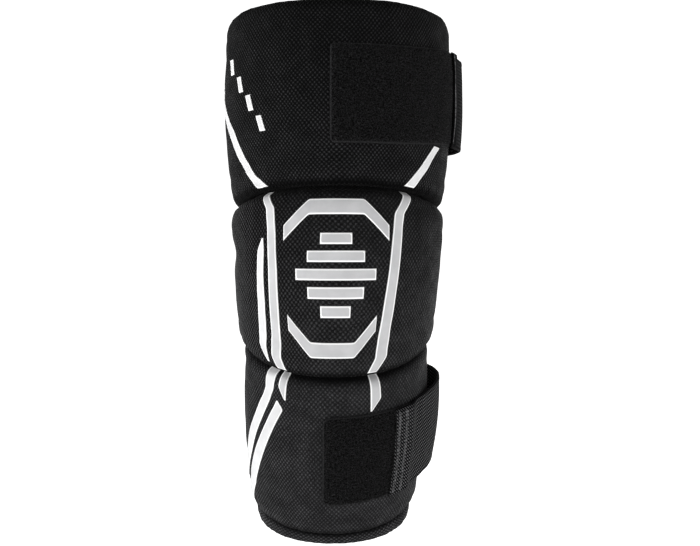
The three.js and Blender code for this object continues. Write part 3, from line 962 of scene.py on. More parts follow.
@dataclass(frozen=True)
class Pile:
    """A tab's pile: fibres per square millimetre, and millimetres that a fibre stands up and is thick."""

    density: float = 2.4
    height: float = 0.75
    thickness: float = 0.07

    ARC = {"Start": (0.0, 0.0, -0.1), "Middle": (0.15, 0.0, 1.5), "End": (0.8, 0.0, 0.35), "Resolution": 3}
    LEAST_TURN = (-0.6, -0.6, 0.0)
    MOST_TURN = (0.6, 0.6, 6.283)

    def grow(self, tab: bpy.types.Object, name: str) -> bpy.types.Object:
        """Grow short curled fibres over the part of a tab that its mark says.

        Args:
            tab: The tab, with a mark "pile" from 0 to 1.
            name: The new piece's name.

        Returns:
            The fibres as one mesh.
        """
        r = NodeRecipe(name + "_recipe", PILE_FIBRE)
        crowd, tall, thick = r.size("Density"), r.size("Height"), r.size("Thickness")
        spread = {"Mesh": r.geometry, "Density": r.times(r.read("pile", "FLOAT"), crowd), "Seed": 7}
        spots = r.node("GeometryNodeDistributePointsOnFaces", spread).outputs
        arc = r.node("GeometryNodeCurveQuadraticBezier", self.ARC).outputs[0]
        section = {"Resolution": 3, "Radius": r.math("DIVIDE", thick, tall)}
        strand = r.node("GeometryNodeCurvePrimitiveCircle", section, mode="RADIUS").outputs[0]
        fibre = r.node("GeometryNodeCurveToMesh", {0: arc, 1: strand, "Fill Caps": True}).outputs[0]
        turns = {0: self.LEAST_TURN, 1: self.MOST_TURN, "Seed": 11}
        spin = r.node("FunctionNodeRandomValue", turns, data_type="FLOAT_VECTOR").outputs[0]
        own = r.node("FunctionNodeEulerToRotation", {0: spin}).outputs[0]
        both = {0: spots["Rotation"], 1: own}
        turned = r.node("FunctionNodeRotateRotation", both, rotation_space="LOCAL").outputs[0]
        vary = r.node("FunctionNodeRandomValue", {2: 0.55, 3: 1.15, "Seed": 13}, data_type="FLOAT").outputs[1]
        scale = r.times(vary, tall)
        fibres = {"Points": spots["Points"], "Instance": fibre, "Rotation": turned, "Scale": scale}
        placed = r.node("GeometryNodeInstanceOnPoints", fibres).outputs[0]
        sizes = {"Density": self.density * 1e6, "Height": self.height * MM, "Thickness": self.thickness * MM}
        return dress(r.grow(tab, name, placed, sizes), PILE_FIBRE, "loop_fleece")


# Foam pads.


CLOTH_SETTINGS = {
    "quality": 6,
    "mass": 0.3,
    "tension_stiffness": 18,
    "compression_stiffness": 18,
    "shear_stiffness": 8,
    "bending_stiffness": 1.2,
    "use_pressure": True,
    "uniform_pressure_force": 4,
    "vertex_group_mass": "sewn",
}
CLOTH_FRAMES = 20


def settle(rest: bpy.types.Object, held: Array, cap: float, slack: float) -> Array:
    """Let a fabric shell swell over its filling, held where it is sewn.

    Args:
        rest: The closed shell. It is used up.
        held: How firmly each vertex is held, from 0 to 1.
        cap: The most millimetres that a point may move.
        slack: Share by which the fabric is cut larger than the shell.

    Returns:
        How far each vertex moved, in millimetres.
    """
    before, after = np.empty((2, len(rest.data.vertices) * 3))
    rest.data.vertices.foreach_get("co", before)
    group = rest.vertex_groups.new(name="sewn")
    levels = np.round(held, 2)
    for level in np.unique(levels):
        group.add(np.flatnonzero(levels == level).tolist(), float(level), "REPLACE")
    cloth = rest.modifiers.new("cloth", "CLOTH")
    for key, value in CLOTH_SETTINGS.items():
        setattr(cloth.settings, key, value)
    cloth.settings.effector_weights.gravity = 0
    cloth.settings.shrink_min = -slack
    cloth.point_cache.frame_start, cloth.point_cache.frame_end = 1, CLOTH_FRAMES
    scene = bpy.context.scene
    for number in range(1, CLOTH_FRAMES + 1):
        scene.frame_set(number)
    graph = bpy.context.evaluated_depsgraph_get()
    settled = bpy.data.meshes.new_from_object(rest.evaluated_get(graph), depsgraph=graph)
    settled.vertices.foreach_get("co", after)
    bpy.data.meshes.remove(settled)
    bpy.data.objects.remove(rest)
    scene.frame_set(1)
    moved = ((after - before) / MM).reshape(-1, 3)
    far = np.linalg.norm(moved, axis=1, keepdims=True)
    log.info("cloth moved its points up to %.1f mm, held to %.1f mm", far.max(), cap)
    return moved * np.minimum(1, cap / np.maximum(far, 1e-9))


class Surface:
    """The outside of one or more finished pieces, for laying others on."""

    PROBE = 30.0
    PAST = 0.5

    def __init__(self, *pieces: bpy.types.Object) -> None:
        """Read the pieces' faces."""
        points, faces, start = [], [], 0
        for piece in pieces:
            mesh = piece.data
            points += [v.co.copy() for v in mesh.vertices]
            faces += [[v + start for v in polygon.vertices] for polygon in mesh.polygons]
            start += len(mesh.vertices)
        self.tree = BVHTree.FromPolygons(points, faces)

    def lift(self, at: Array, angle: Array, missed: Array) -> Array:
        """How high the surface stands over the sleeve at each place, or missed where there is none."""
        at, angle, missed = np.broadcast_arrays(at, angle, missed)
        base, out = limb.over(at, angle, 0.0), limb.out(at, angle)
        lifts = np.array(missed, float)
        for spot in np.ndindex(at.shape):
            start = Vector((base[spot] + self.PROBE * out[spot]) * MM)
            hit = self.tree.ray_cast(start, Vector(-out[spot]), (self.PROBE + self.PAST) * MM)
            if hit[0] is not None:
                lifts[spot] = self.PROBE - hit[3] / MM
        return lifts


class Groove(NamedTuple):
    """A sewn groove down a pad: its angle, depth and half width in millimetres."""

    angle: float
    depth: float
    width: float


class Dent(NamedTuple):
    """A soft dent or swelling: where it is, how deep, and its reach down and round in millimetres."""

    at: float
    angle: float
    depth: float
    down: float
    across: float


@dataclass
class FoamPad:
    """A foam pad in mesh fabric, sewn to the sleeve round its edge.

    cell is the grid's cell, cap and slack go to the cloth, and puff is the share of its swelling that stays.
    pucker and sunk shape the top rim. pale is painted light on the mesh at the top and the bottom,
    painted_light_wing how much more painted light its -X wing gets, and knotty how far its knots stand out,
    in relief and in painted light, at the -X side and past the middle.
    """

    form: PadForm
    fill: float
    mesh: SpacerMesh = SPACER_MESH
    cell: float = 2.7
    cap: float = 5.0
    slack: float = 0.012
    puff: float = 0.35
    grooves: tuple[Groove, ...] = ()
    dents: tuple[Dent, ...] = ()
    pressed: tuple[Callable[[Array, Array], Array], ...] = ()
    pucker: float = 0.24
    sunk: float = 2.0
    # Painted light on the mesh: towards one end, on the -X wing, and on the knots towards -X.
    painted_light: tuple[float, float] = (1.0, 1.1)
    painted_light_wing: float = 0.0
    knots_and_painted_side_light: tuple[float, float] = (0.8, 0.5)
    seed: int = 1

    # How much of the rows' spacing is even, and how much crowds towards the pad's edges.
    EVEN, CROWDED = 0.55, 0.45
    # Millimetres inside the seam from which the fabric swells freely.
    SWELLS_FROM = 9.0
    # How firmly a groove holds the fabric, and how far to each side.
    GROOVE_HOLD, GROOVE_REACH = 0.9, 3.5
    # How far the open fabric is let go, and how much of its common swelling is taken back.
    LET_GO, LEVELLED = 0.985, 0.85
    # Degrees between which the -X wing's painted light begins.
    WORN_FROM, WORN_TO = 42, 58

    def _layout(self) -> tuple[Array, Array]:
        """Places along the centreline and angles of the pad's grid."""
        form = self.form
        start, end = float(form.start(0.0)), float(form.end(0.0))
        self.degree = float(limb.degree((start + end) / 2, 40.0, form.foam))
        even = np.linspace(0, 1, round((end - start) / self.cell) + 1)
        along = (self.EVEN * even + self.CROWDED * (1 - np.cos(np.pi * even)) / 2)[:, None]
        columns = round(2 * form.wrap * self.degree / self.cell)
        angle = np.linspace(-form.wrap, form.wrap, columns + 1)[None, :]
        return np.broadcast_arrays(form.place(along, angle), angle)

    def _inside(self, at: Array, angle: Array, top: float = 1.0) -> Array:
        """Distance inside the sewn edge, with the distance from the top rim divided by a number."""
        form = self.form
        lengthwise = np.minimum((at - form.start(angle)) / top, form.end(angle) - at)
        return np.minimum(lengthwise, (form.wrap - np.abs(angle)) * self.degree)

    def _free(self, at: Array, angle: Array) -> Array:
        """How free the fabric is to swell: 0 where it is sewn or pressed, 1 in the open."""
        free = smoothstep(self._inside(at, angle), 0, self.SWELLS_FROM)
        for groove in self.grooves:
            off = (np.abs(angle) - groove.angle) * self.degree
            free = free * (1 - self.GROOVE_HOLD * bump(off, self.GROOVE_REACH))
        for press in self.pressed:
            free = free * (1 - press(at, angle))
        return free

    def _marks(self, at: Array, angle: Array) -> dict[str, Array]:
        """What the mesh's material reads at each place."""
        form = self.form
        down = (at - form.start(angle)) / (form.end(angle) - form.start(angle))
        (top, bottom), (left, right) = self.painted_light, self.knots_and_painted_side_light
        wing = smoothstep(-angle, self.WORN_FROM, self.WORN_TO)
        # The material darkens the mesh near the seam with painted shade, and the other two marks paint light
        # on it.
        return {
            "sewn": self._inside(at, angle, top=1.3),
            "painted_light": (top + (bottom - top) * down) * (1 + self.painted_light_wing * wing),
            "knots_and_painted_side_light": left + (right - left) * smoothstep(angle, -60, 10),
        }

    def build(self) -> bpy.types.Object:
        """Make the pad: shell, swelling, then grooves, puckers and dents."""
        form = self.form
        at, angle = self._layout()
        outer = limb.over(at, angle, form.lift(at, angle))
        inner = limb.over(at, angle, PIECE_GAP)
        free = self._free(at, angle)
        weave = np.stack([angle * self.degree, -at], axis=-1)
        rest = Wall(outer, inner, weave, rim_rows=1, bulge=0.2).build(form.name + "_rest")
        held = np.ones(len(rest.data.vertices))
        held[: free.size] = np.clip(1 - self.LET_GO * free.ravel(), 0, 1)
        moved = settle(rest, held, self.cap, self.slack)[: free.size].reshape(outer.shape)
        out, share = grid_normals(outer), free[..., None]
        swell = np.sum(moved * out, axis=-1, keepdims=True)
        level = np.percentile(swell[free > 0.5], 70)
        outer = outer + (moved - out * level * share * self.LEVELLED) * share * self.puff
        for axis in (0, 1):
            outer, inner = refined(outer, axis), refined(inner, axis)
            at, angle = refined(at, axis), refined(angle, axis)
        outer = outer + grid_normals(outer) * self._relief(at, angle)[..., None]
        self.angle, self.outer = angle, outer
        weave = np.stack([angle * self.degree, -at], axis=-1)
        wall = Wall(outer, inner, weave, bulge=0.5, marks=self._marks(at, angle))
        piece = wall.build(form.name + "_fabric")
        dress(piece, self.mesh, "spacer_mesh", form.name)
        return piece

    def _relief(self, at: Array, angle: Array) -> Array:
        """Fine height over the swollen shell."""
        form = self.form
        down, up = at - form.start(angle), form.end(angle) - at
        ends = (form.wrap - np.abs(angle)) * self.degree
        arc = angle * self.degree
        puckers = ((self.pucker, arc / 7.5, down, 3), (0.24, arc / 8.5, up, 3), (0.3, at / 8.0, ends, 4))
        relief = np.zeros(at.shape)
        for i, (height, ripple, inside, reach) in enumerate(puckers):
            relief += height * waves(ripple, self.seed + i) * bump(inside - reach, reach)
        relief += 0.16 * waves(arc / 34 + at / 55, self.seed + 3) * waves(at / 30, self.seed + 4)
        relief -= 0.7 * bump(ends - SEAM_INSET, 0.9)
        relief -= self.sunk * bump(down, 3.2)
        for groove in self.grooves:
            off = (np.abs(angle) - groove.angle) * self.degree
            fade = smoothstep(np.minimum(down, up), 1, 8)
            relief -= groove.depth * bump(off, groove.width) * fade
        for dent in self.dents:
            far = ((at - dent.at) / dent.down) ** 2 + ((angle - dent.angle) * self.degree / dent.across) ** 2
            relief -= dent.depth * np.exp(-far)
        return relief

    def line(self, angle: float, start: float, end: float, count: int = 80) -> tuple[Array, Array]:
        """Points and ways out down the finished pad at an angle, between two shares of its length."""
        column = int(np.argmin(np.abs(self.angle[0] - angle)))
        number = np.arange(len(self.outer))
        rows = np.linspace(start, end, count) * number[-1]
        points, outs = (grid[:, column] for grid in (self.outer, grid_normals(self.outer)))
        return between(rows, number, points), between(rows, number, outs)


# Straps and tabs.


class Climb(NamedTuple):
    """How many millimetres a strap climbs, and the angles between which it does."""

    height: float
    start: float
    end: float


@dataclass
class Closure:
    """One closure: a fleece tab on the pad's front, and elastic from the tab round the back.

    middle is where the strap's middle starts on the centreline. The tab runs from tab_start to overlap
    millimetres past seam, where the elastic starts, which ends at sewn_at. Between leaves and lands the
    elastic stands off by as much as standoff, most of all at peak. corner rounds the tab's front corners.
    """

    # The grids' cells on the band and on the tab, in millimetres as all that follow but HOLD.
    CELL, TAB_CELL = 1.4, 0.9
    # Overlap under which the band is tucked behind the tab, with painted shade on it there, and one column of
    # stitches.
    TUCK = 6.0
    # The share by which a strap keeps the foam under it from swelling.
    HOLD = 0.93
    # Gaps under the tab and under the band.
    TAB_SEAT, BAND_SEAT = 0.25, 0.1
    # Thickness at the tab's bare border and what the woven ground adds, and the same for the band's edges.
    TAB_THIN, TAB_THICKER = 1.0, 1.05
    BAND_THIN, BAND_THICKER = 1.35, 0.25
    # How far the free band's edges curl in, and the ripple along both pieces.
    CUPPED, RIPPLE = 0.25, 0.12

    name: str
    middle: float
    climb: Climb
    width: float
    tab_start: float
    seam: float
    sewn_at: float
    standoff: float
    leaves: float
    peak: float
    lands: float
    corner: float
    overlap: float
    tab_thickness: float = 2.2

    def __post_init__(self) -> None:
        """Work out a degree's length and the tab's end."""
        self.degree = float(limb.degree(self.middle, self.seam, 7.0))
        self.tab_end = self.seam + self.overlap / self.degree

    def centre(self, angle: Array) -> Array:
        """Where the strap's middle runs at an angle."""
        return self.middle - self.climb.height * smoothstep(angle, self.climb.start, self.climb.end)

    def press(self, at: Array, angle: Array) -> Array:
        """How much the closure holds the fabric under it down, from 0 to 1."""
        off = np.abs(at - self.centre(angle)) - self.width / 2
        across = 1 - smoothstep(off, -1, 4)
        tab = smoothstep(angle, self.tab_start - 5, self.tab_start + 1)
        past = smoothstep(angle, self.sewn_at - 362, self.sewn_at - 356)
        return self.HOLD * across * np.maximum(tab, 1 - past)

    def _from_edge(self, offset: Array, angle: Array, start: float, end: float) -> Array:
        """Distance to the nearest edge of a strip between two angles."""
        sides = self.width / 2 - np.abs(offset)
        ends = np.minimum(angle - start, end - angle) * self.degree
        return np.minimum(sides, ends)

    def tab(self, pads: Surface) -> bpy.types.Object:
        """Make the tab: bare woven border, then pile."""
        columns = round((self.tab_end - self.tab_start) * self.degree / self.TAB_CELL)
        rows = round(self.width / self.TAB_CELL)
        angle = np.linspace(self.tab_start, self.tab_end, columns + 1)[None, :]
        short = 1 - np.clip((angle - self.tab_start) * self.degree / self.corner, 0, 1)
        cut = self.corner * (1 - np.sqrt(1 - short * short))
        share = np.linspace(-1, 1, rows + 1)[:, None]
        offset = share * (self.width / 2 - cut)
        offset, angle = np.broadcast_arrays(offset, angle)
        at = self.centre(angle) + offset
        under = self._calm(pads.lift(at, angle, covered_lift(at, angle))) + self.TAB_SEAT
        edge = self._from_edge(offset, angle, self.tab_start, self.tab_end + 9)
        edge = np.minimum(edge, (1 - np.abs(share)) * 25)
        thick = self.TAB_THIN + self.TAB_THICKER * smoothstep(edge, 0.3, 1.6)
        free = bump((angle - self.tab_start) * self.degree, 2.5)
        ripple = self.RIPPLE * waves(angle * self.degree / 14 + offset / 40, 21)
        outer = limb.over(at, angle, under + thick + ripple + 0.15 * free)
        inner = limb.over(at, angle, under)
        weave = np.stack([angle * self.degree, -at], axis=-1)
        marks = {"edge": edge, "pile": smoothstep(edge, 0.4, 1.0) * (angle < self.seam)}
        piece = Wall(outer, inner, weave, bulge=0.3, rim_rows=2, marks=marks).build(self.name + "_tab_fleece")
        # Only the outer face, whose vertices come first, carries pile.
        hairy = np.zeros(len(piece.data.vertices))
        hairy[: edge.size] = marks["pile"].ravel()
        piece.data.attributes["pile"].data.foreach_set("value", hairy)
        return dress(piece, LOOP_FLEECE, "loop_fleece", self.name + "_strap_tab")

    @staticmethod
    def _calm(heights: Array) -> Array:
        """Heights smoothed over their neighbours, never much under the real ones."""
        calm = heights
        for _ in range(6):
            wide = np.pad(calm, 1, mode="edge")
            calm = (wide[:-2, 1:-1] + wide[2:, 1:-1] + wide[1:-1, :-2] + wide[1:-1, 2:] + 2 * calm) / 6
        return np.maximum(calm, heights - 0.1)

    def elastic(self, tab: bpy.types.Object) -> bpy.types.Object:
        """Make the elastic: a woven band with tighter edges, seated on the tab where it starts."""
        columns = round((self.sewn_at - self.seam) * self.degree / self.CELL)
        rows = round(self.width / self.CELL)
        angle = np.linspace(self.seam, self.sewn_at, columns + 1)[None, :]
        offset = np.linspace(-self.width / 2, self.width / 2, rows + 1)[:, None]
        offset, angle = np.broadcast_arrays(offset, angle)
        at = self.centre(angle) + offset
        past = angle - self.tab_end
        on_tab = (self.tab_thickness + PIECE_GAP) * (1 - smoothstep(past, 1, 9))
        off = self.standoff * smoothstep(angle, self.leaves, self.peak)
        off = off * (1 - smoothstep(angle, self.peak, self.lands))
        under = covered_lift(at, angle) + STRAP_GAP + on_tab + off
        seated = self._calm(Surface(tab).lift(at, angle, under)) + self.BAND_SEAT
        last = np.take_along_axis(seated, np.argmax(angle >= self.tab_end, axis=1)[:, None] - 1, axis=1)
        seated = np.where(angle < self.tab_end, seated, last)
        under = under + (seated - under) * (1 - smoothstep(past, 0, 4))
        edge = self._from_edge(offset, angle, self.seam - 9, self.sewn_at + 9)
        cupped = self.CUPPED * (np.abs(offset) / (self.width / 2)) ** 4 * smoothstep(off, 0, 2)
        thick = self.BAND_THIN + self.BAND_THICKER * bump(edge - 1.0, 0.9)
        ripple = self.RIPPLE * waves(angle * self.degree / 11 + offset / 60, 31)
        outer = limb.over(at, angle, under + self.BAND_SEAT + thick + ripple - cupped)
        inner = limb.over(at, angle, under + self.BAND_SEAT - cupped)
        weave = np.stack([angle * self.degree, -offset], axis=-1)
        # Painted shade on the band from the tab's end, fading over the next degrees, where the band is
        # tucked.
        painted_shade = 0.97 * (self.overlap < self.TUCK) * (1 - smoothstep(past, 3, 30))
        marks = {"edge": edge, "open": 1 - painted_shade}
        self.band, self.band_angle = outer, angle
        wall = Wall(outer, inner, weave, bulge=0.35, rim_rows=2, marks=marks)
        piece = wall.build(self.name + "_elastic_band")
        return dress(piece, ELASTIC_WEBBING, "elastic_webbing", self.name + "_elastic_strap")

    def across(self, millimetres: float, inset: float, from_end: bool = False) -> tuple[Array, Array]:
        """A line across the band, so far from its start or end, and the ways out along it."""
        turn = millimetres / self.degree
        angle = self.sewn_at - turn if from_end else self.seam + turn
        column = int(np.argmin(np.abs(self.band_angle[0] - angle)))
        skip = max(1, round(inset / self.CELL))
        return self.band[skip:-skip, column], grid_normals(self.band)[skip:-skip, column]

    def thread(self) -> bpy.types.Object:
        """Sew the band to the tab with one or two dense leaning columns, and down over the pad's far end."""
        stitches: list[Stitch] = []
        for start in (1.6, 4.9) if self.overlap > self.TUCK else (1.6,):
            stitches += stitch_line(*self.across(start, 1.0), 0.9, 56)
        for start in (2.5, 7.5):
            stitches += stitch_line(*self.across(start, 2.0, from_end=True), 2.6)
        return sew(self.name + "_strap_thread", stitches, 2.5, 0.5)

    def build(self, pads: Surface) -> None:
        """Make the whole closure."""
        tab = self.tab(pads)
        band = self.elastic(tab)
        thread = self.thread()
        fibres = Pile().grow(tab, self.name + "_tab_pile")


UPPER = Closure(
    "upper", middle=0.484 * BICEPS_LENGTH, climb=Climb(4.8, 20, 90), width=49.5, tab_start=-2.5, seam=72,
    sewn_at=250, standoff=6.5, leaves=80, peak=99, lands=150, corner=1.5, overlap=4.0,
)
LOWER = Closure(
    "lower", middle=LOWER_CREASE + 0.606 * FOREARM_LENGTH, climb=Climb(11, -10, 140), width=47, tab_start=-6,
    seam=36, sewn_at=256, standoff=5.5, leaves=56, peak=98, lands=150, corner=4, overlap=8.0,
)


# Sleeve and hem.


def ring_angles(columns: int) -> Array:
    """Angles of a ring's columns, as one row."""
    return (np.arange(columns) * 360 / columns - 180)[None, :]


def ring_weave(at: Array, girth: float) -> Array:
    """Map coordinates of a ring, with one more column than its points."""
    turn = np.linspace(0, girth, at.shape[1] + 1)[None, :]
    return np.stack(np.broadcast_arrays(turn, -np.concatenate([at, at[:, :1]], axis=1)), axis=-1)


@dataclass
class Sleeve:
    """The inner tube of stretch knit, with soft folds at the inner elbow."""

    rows: int = 190
    columns: int = 200
    girth: float = 264
    fold: float = 1.1
    fold_pitch: float = 11.5
    proud: float = 0.25

    def build(self) -> bpy.types.Object:
        """Make the tube."""
        share = np.linspace(0, 1, self.rows + 1)[:, None]
        angle = ring_angles(self.columns)
        start, end = top_rim(angle), sleeve_end(angle)
        at = start + (end - start) * share
        angle = np.broadcast_to(angle, at.shape)
        behind = bump(np.abs(angle) - 180, 38)
        crook = bump(at - ORIGIN_AT - 2, 26)
        folds = np.cos(2 * math.pi * (at - ORIGIN_AT + 1.2 * waves(angle / 60, 41)) / self.fold_pitch)
        relief = self.fold * behind * crook * (folds - 0.6)
        relief += 0.15 * waves(angle / 14, 42) * waves(at / 40, 43) * smoothstep(at, 2, 10)
        relief = np.minimum(relief, self.proud)
        outer, inner = limb.over(at, angle, relief), limb.over(at, angle, relief - SLEEVE_WALL)
        piece = Wall(outer, inner, ring_weave(at, self.girth), ring=True, bulge=0.8).build("sleeve_knit")
        dress(piece, STRETCH_KNIT, "stretch_knit", "stretch_sleeve")
        return piece


@dataclass
class Hem:
    """The folded hem at the wrist."""

    fold: float = 4.0
    rows: int = 12
    columns: int = 240
    girth: float = 236

    def build(self) -> bpy.types.Object:
        """Make the hem."""
        angle = ring_angles(self.columns)
        share = (1 - np.cos(np.pi * np.linspace(0, 1, self.rows + 1)[:, None])) / 2
        start, end = hem_line(angle) + PIECE_GAP, sleeve_end(angle)
        at = start + (end - start) * share
        angle = np.broadcast_to(angle, at.shape)
        sewn = 0.45 - 0.27 * (share < 0.5)
        round_fold = sewn + (1 - sewn) * np.sqrt(np.maximum(0, 1 - np.abs(2 * share - 1) ** 2.4))
        pucker = 0.2 * waves(angle / 4.3, 51) * bump(share, 0.6) + 0.14 * waves(angle / 9, 52)
        outer = limb.over(at, angle, PIECE_GAP + self.fold * round_fold + pucker)
        inner = limb.over(at, angle, PIECE_GAP)
        # Near its seam under the forearm pad, the hem's colour is darkened with painted shade.
        marks = {"sewn": (at - start) * 1.6, "painted_light": np.ones(at.shape), "knots_and_painted_side_light": np.full(at.shape, 0.7)}
        wall = Wall(outer, inner, ring_weave(at, self.girth), ring=True, bulge=0.5, marks=marks)
        piece = wall.build("wrist_hem_knit")
        dress(piece, HEM_KNIT, "hem_knit", "wrist_hem")
        return piece


# Bonded film.


class Run(Enum):
    """Which way a film runs on its pad."""

    DOWN = "down"
    ROUND = "round"


@dataclass
class Film:
    """One piece of film, bent over the finished fabric.

    A row down a pad is a share of its length, then the left and right edge in degrees. A row round a pad is a
    turn in degrees, then the top and bottom edge as shares of the pad's length.
    """

    name: str
    pad: PadForm
    finish: BondedFilm
    rows: tuple[tuple[float, float, float], ...]
    run: Run = Run.DOWN
    margin: float = 0.45
    step: float = 0.9
    kink: float = 0.8
    under: float = 0.35

    EDGES = ((-1.0, -0.1), (-0.75, 0.06), (0.0, 0.12), (0.12, 0.34), (0.4, 0.42))
    CELLS_ACROSS = 6

    def _spread(self, length: float, step: Optional[float] = None) -> tuple[Array, Array]:
        """Places from one edge to the other.

        Args:
            length: Millimetres from edge to edge.
            step: Millimetres from place to place in the middle, or None for always the same number of them.

        Returns:
            Each place's distance from the first edge, and how far it is inside the nearest edge.
        """
        tight = min(1.0, 0.45 * length / 0.4)
        inset = np.array([d * (self.margin if d < 0 else tight) for d, _ in self.EDGES])
        cells = self.CELLS_ACROSS if step is None else max(2, math.ceil((length - 2 * inset[-1]) / step))
        middle = np.linspace(inset[-1], length - inset[-1], cells + 1)
        places = np.concatenate([inset[:-1], middle, (length - inset[:-1])[::-1]])
        return places, np.minimum(places, length - places)

    def _height(self, inside: Array) -> Array:
        """The film's height over the fabric at a distance inside its edge."""
        places = [d * (self.margin if d < 0 else 1) for d, _ in self.EDGES]
        return np.interp(inside, places, [h for _, h in self.EDGES])

    def build(self, pads: Surface) -> bpy.types.Object:
        """Make the film."""
        rows = np.array(self.rows)
        down = self.run is Run.DOWN
        middle = rows[:, 1:].mean(axis=1)
        along, turn = (rows[:, 0], middle) if down else (middle, rows[:, 0])
        track = limb.over(self.pad.place(along, turn), turn, self.pad.foam)
        steps = np.concatenate([[0], np.cumsum(np.linalg.norm(np.diff(track, axis=0), axis=1))])
        long, long_inside = self._spread(steps[-1], self.step)
        place, first, second = (self._eased_column(long, steps, rows[:, k]) for k in range(3))
        mid = (first + second) / 2
        if down:
            unit_length = limb.degree(self.pad.place(place, mid), mid, self.pad.foam)
        else:
            unit_length = (self.pad.place(mid + 0.01, place) - self.pad.place(mid - 0.01, place)) / 0.02
        widths = np.maximum((second - first) * unit_length, 0.3)
        wide, wide_inside = (np.array(part) for part in zip(*map(self._spread, widths)))
        side = first[:, None] + wide / unit_length[:, None]
        held = np.broadcast_to(place[:, None], side.shape)
        inside = np.minimum(wide_inside, long_inside[:, None])
        along, turn = (held, side) if down else (side.T, held.T)
        inside = inside if down else inside.T
        at = self.pad.place(along, turn)
        lift = pads.lift(at, turn, self.pad.lift(np.clip(at, self.pad.start(turn), self.pad.end(turn)), turn))
        outer = limb.over(at, turn, lift + self._height(inside))
        inner = limb.over(at, turn, lift - self.under)
        weave = np.stack([turn * 0.95, -at], axis=-1)
        wall = Wall(outer, inner, weave, bulge=0.0, rim_rows=1, marks={"edge": inside})
        piece = wall.build(self.name + "_bonded")
        return dress(piece, self.finish, self.finish.name, self.name)

    def _eased_column(self, at: Array, steps: Array, values: Array) -> Array:
        """One column of the table, its kinks a little rounded.

        Args:
            at: Where to read it, in millimetres down the film, a little past both ends too.
            steps: Where the table's rows are.
            values: The column.

        Returns:
            The column's value at each place.
        """
        slopes = np.diff(values) / np.diff(steps)
        reach = np.clip(np.minimum(at, steps[-1] - at) / self.kink, 0, 1)
        total = np.zeros(at.shape)
        offsets = np.linspace(-self.kink, self.kink, 7)
        for offset in offsets:
            near = at + offset * reach
            total += np.interp(near, steps, values)
            total += np.minimum(near, 0) * slopes[0] + np.maximum(near - steps[-1], 0) * slopes[-1]
        return total / len(offsets)


class FilmSet:
    """Every piece of film on the three pads."""

    BARS = ((0.289, 6), (0.379, 12), (0.47, 18), (0.56, 12), (0.651, 6))
    HALF_BAR = 0.0275
    TICKS = ((0.262, -66), (0.373, -57), (0.485, -49), (0.607, -41.5))

    def films(self) -> list[Film]:
        """The films' tables."""
        stripes = [
            Film("biceps_stripe_left", BICEPS, FILM_WHITE, (
                (0.361, -92, -88), (0.502, -79, -74), (0.654, -68, -61.5), (0.807, -58.5, -52.5),
                (0.92, -50, -44.5), (0.988, -44.7, -37))),
            Film("biceps_stripe_right", BICEPS, FILM_WHITE, (
                (0.744, 55.5, 61), (0.946, 39.3, 45.2), (0.988, 35.8, 42.8))),
            Film("elbow_stripe_left", ELBOW, FILM_GREY, (
                (0.008, -42.5, -37.5), (0.115, -36, -31), (0.452, -34.5, -29), (0.919, -36.5, -30),
                (0.988, -33.5, -27.5))),
            Film("elbow_stripe_right", ELBOW, FILM_GREY, (
                (0.008, 36.8, 42.6), (0.146, 28.5, 34), (0.901, 21, 28), (0.985, 17.2, 22.5))),
            Film("elbow_side_stripe", ELBOW, FILM_WHITE, (
                (0.28, -39.2, -38.4), (0.345, -42.4, -37.9), (0.621, -44.3, -38.9), (0.867, -45.8, -40.5),
                (0.963, -40.4, -39.4))),
            Film("forearm_side_stripe", FOREARM, FILM_WHITE, (
                (0.008, -44.6, -36.5), (0.129, -44.8, -38.6), (0.189, -48, -41.5), (0.282, -53.5, -46.3),
                (0.394, -60, -52.5), (0.61, -73.5, -65), (0.84, -91, -81))),
            Film("forearm_slant_stripe", FOREARM, FILM_WHITE, (
                (0.186, -36, -35.2), (0.232, -38.5, -31.5), (0.355, -45.5, -38.5), (0.583, -59.5, -51),
                (0.837, -75, -64.8), (0.944, -82, -71))),
            Film("forearm_point_left", FOREARM, FILM_GREY, (
                (0.008, -33, -28), (0.096, -34.3, -28.7), (0.167, -30.2, -29.4))),
            Film("forearm_point_right", FOREARM, FILM_GREY, (
                (0.008, 19.5, 25.5), (0.143, 20, 26.6), (0.214, 20, 20.8))),
            Film("elbow_frame_upper", ELBOW, FILM_GREY, (
                (-25, 0.217, 0.297), (-12, 0.082, 0.163), (12, 0.082, 0.163), (25, 0.217, 0.297)), Run.ROUND),
            Film("elbow_frame_lower", ELBOW, FILM_GREY, (
                (-24, 0.675, 0.755), (-12, 0.806, 0.887), (9, 0.806, 0.887), (20, 0.675, 0.755)), Run.ROUND),
        ]
        for i, (middle, reach) in enumerate(self.BARS, 1):
            rows = tuple((turn, middle - self.HALF_BAR, middle + self.HALF_BAR) for turn in (-reach, reach))
            stripes.append(Film(f"elbow_bar_{i}", ELBOW, FILM_GREY, rows, Run.ROUND))
        for i, (start, turn) in enumerate(self.TICKS, 1):
            rows = ((start, turn, turn + 3.4), (start + 0.085, turn + 2.5, turn + 5.9))
            stripes.append(Film(f"biceps_tick_{i}", BICEPS, FILM_WHITE, rows))
        return stripes

    def build(self, pads: Surface) -> None:
        """Make every film."""
        for film in self.films():
            film.build(pads)


# The whole guard.


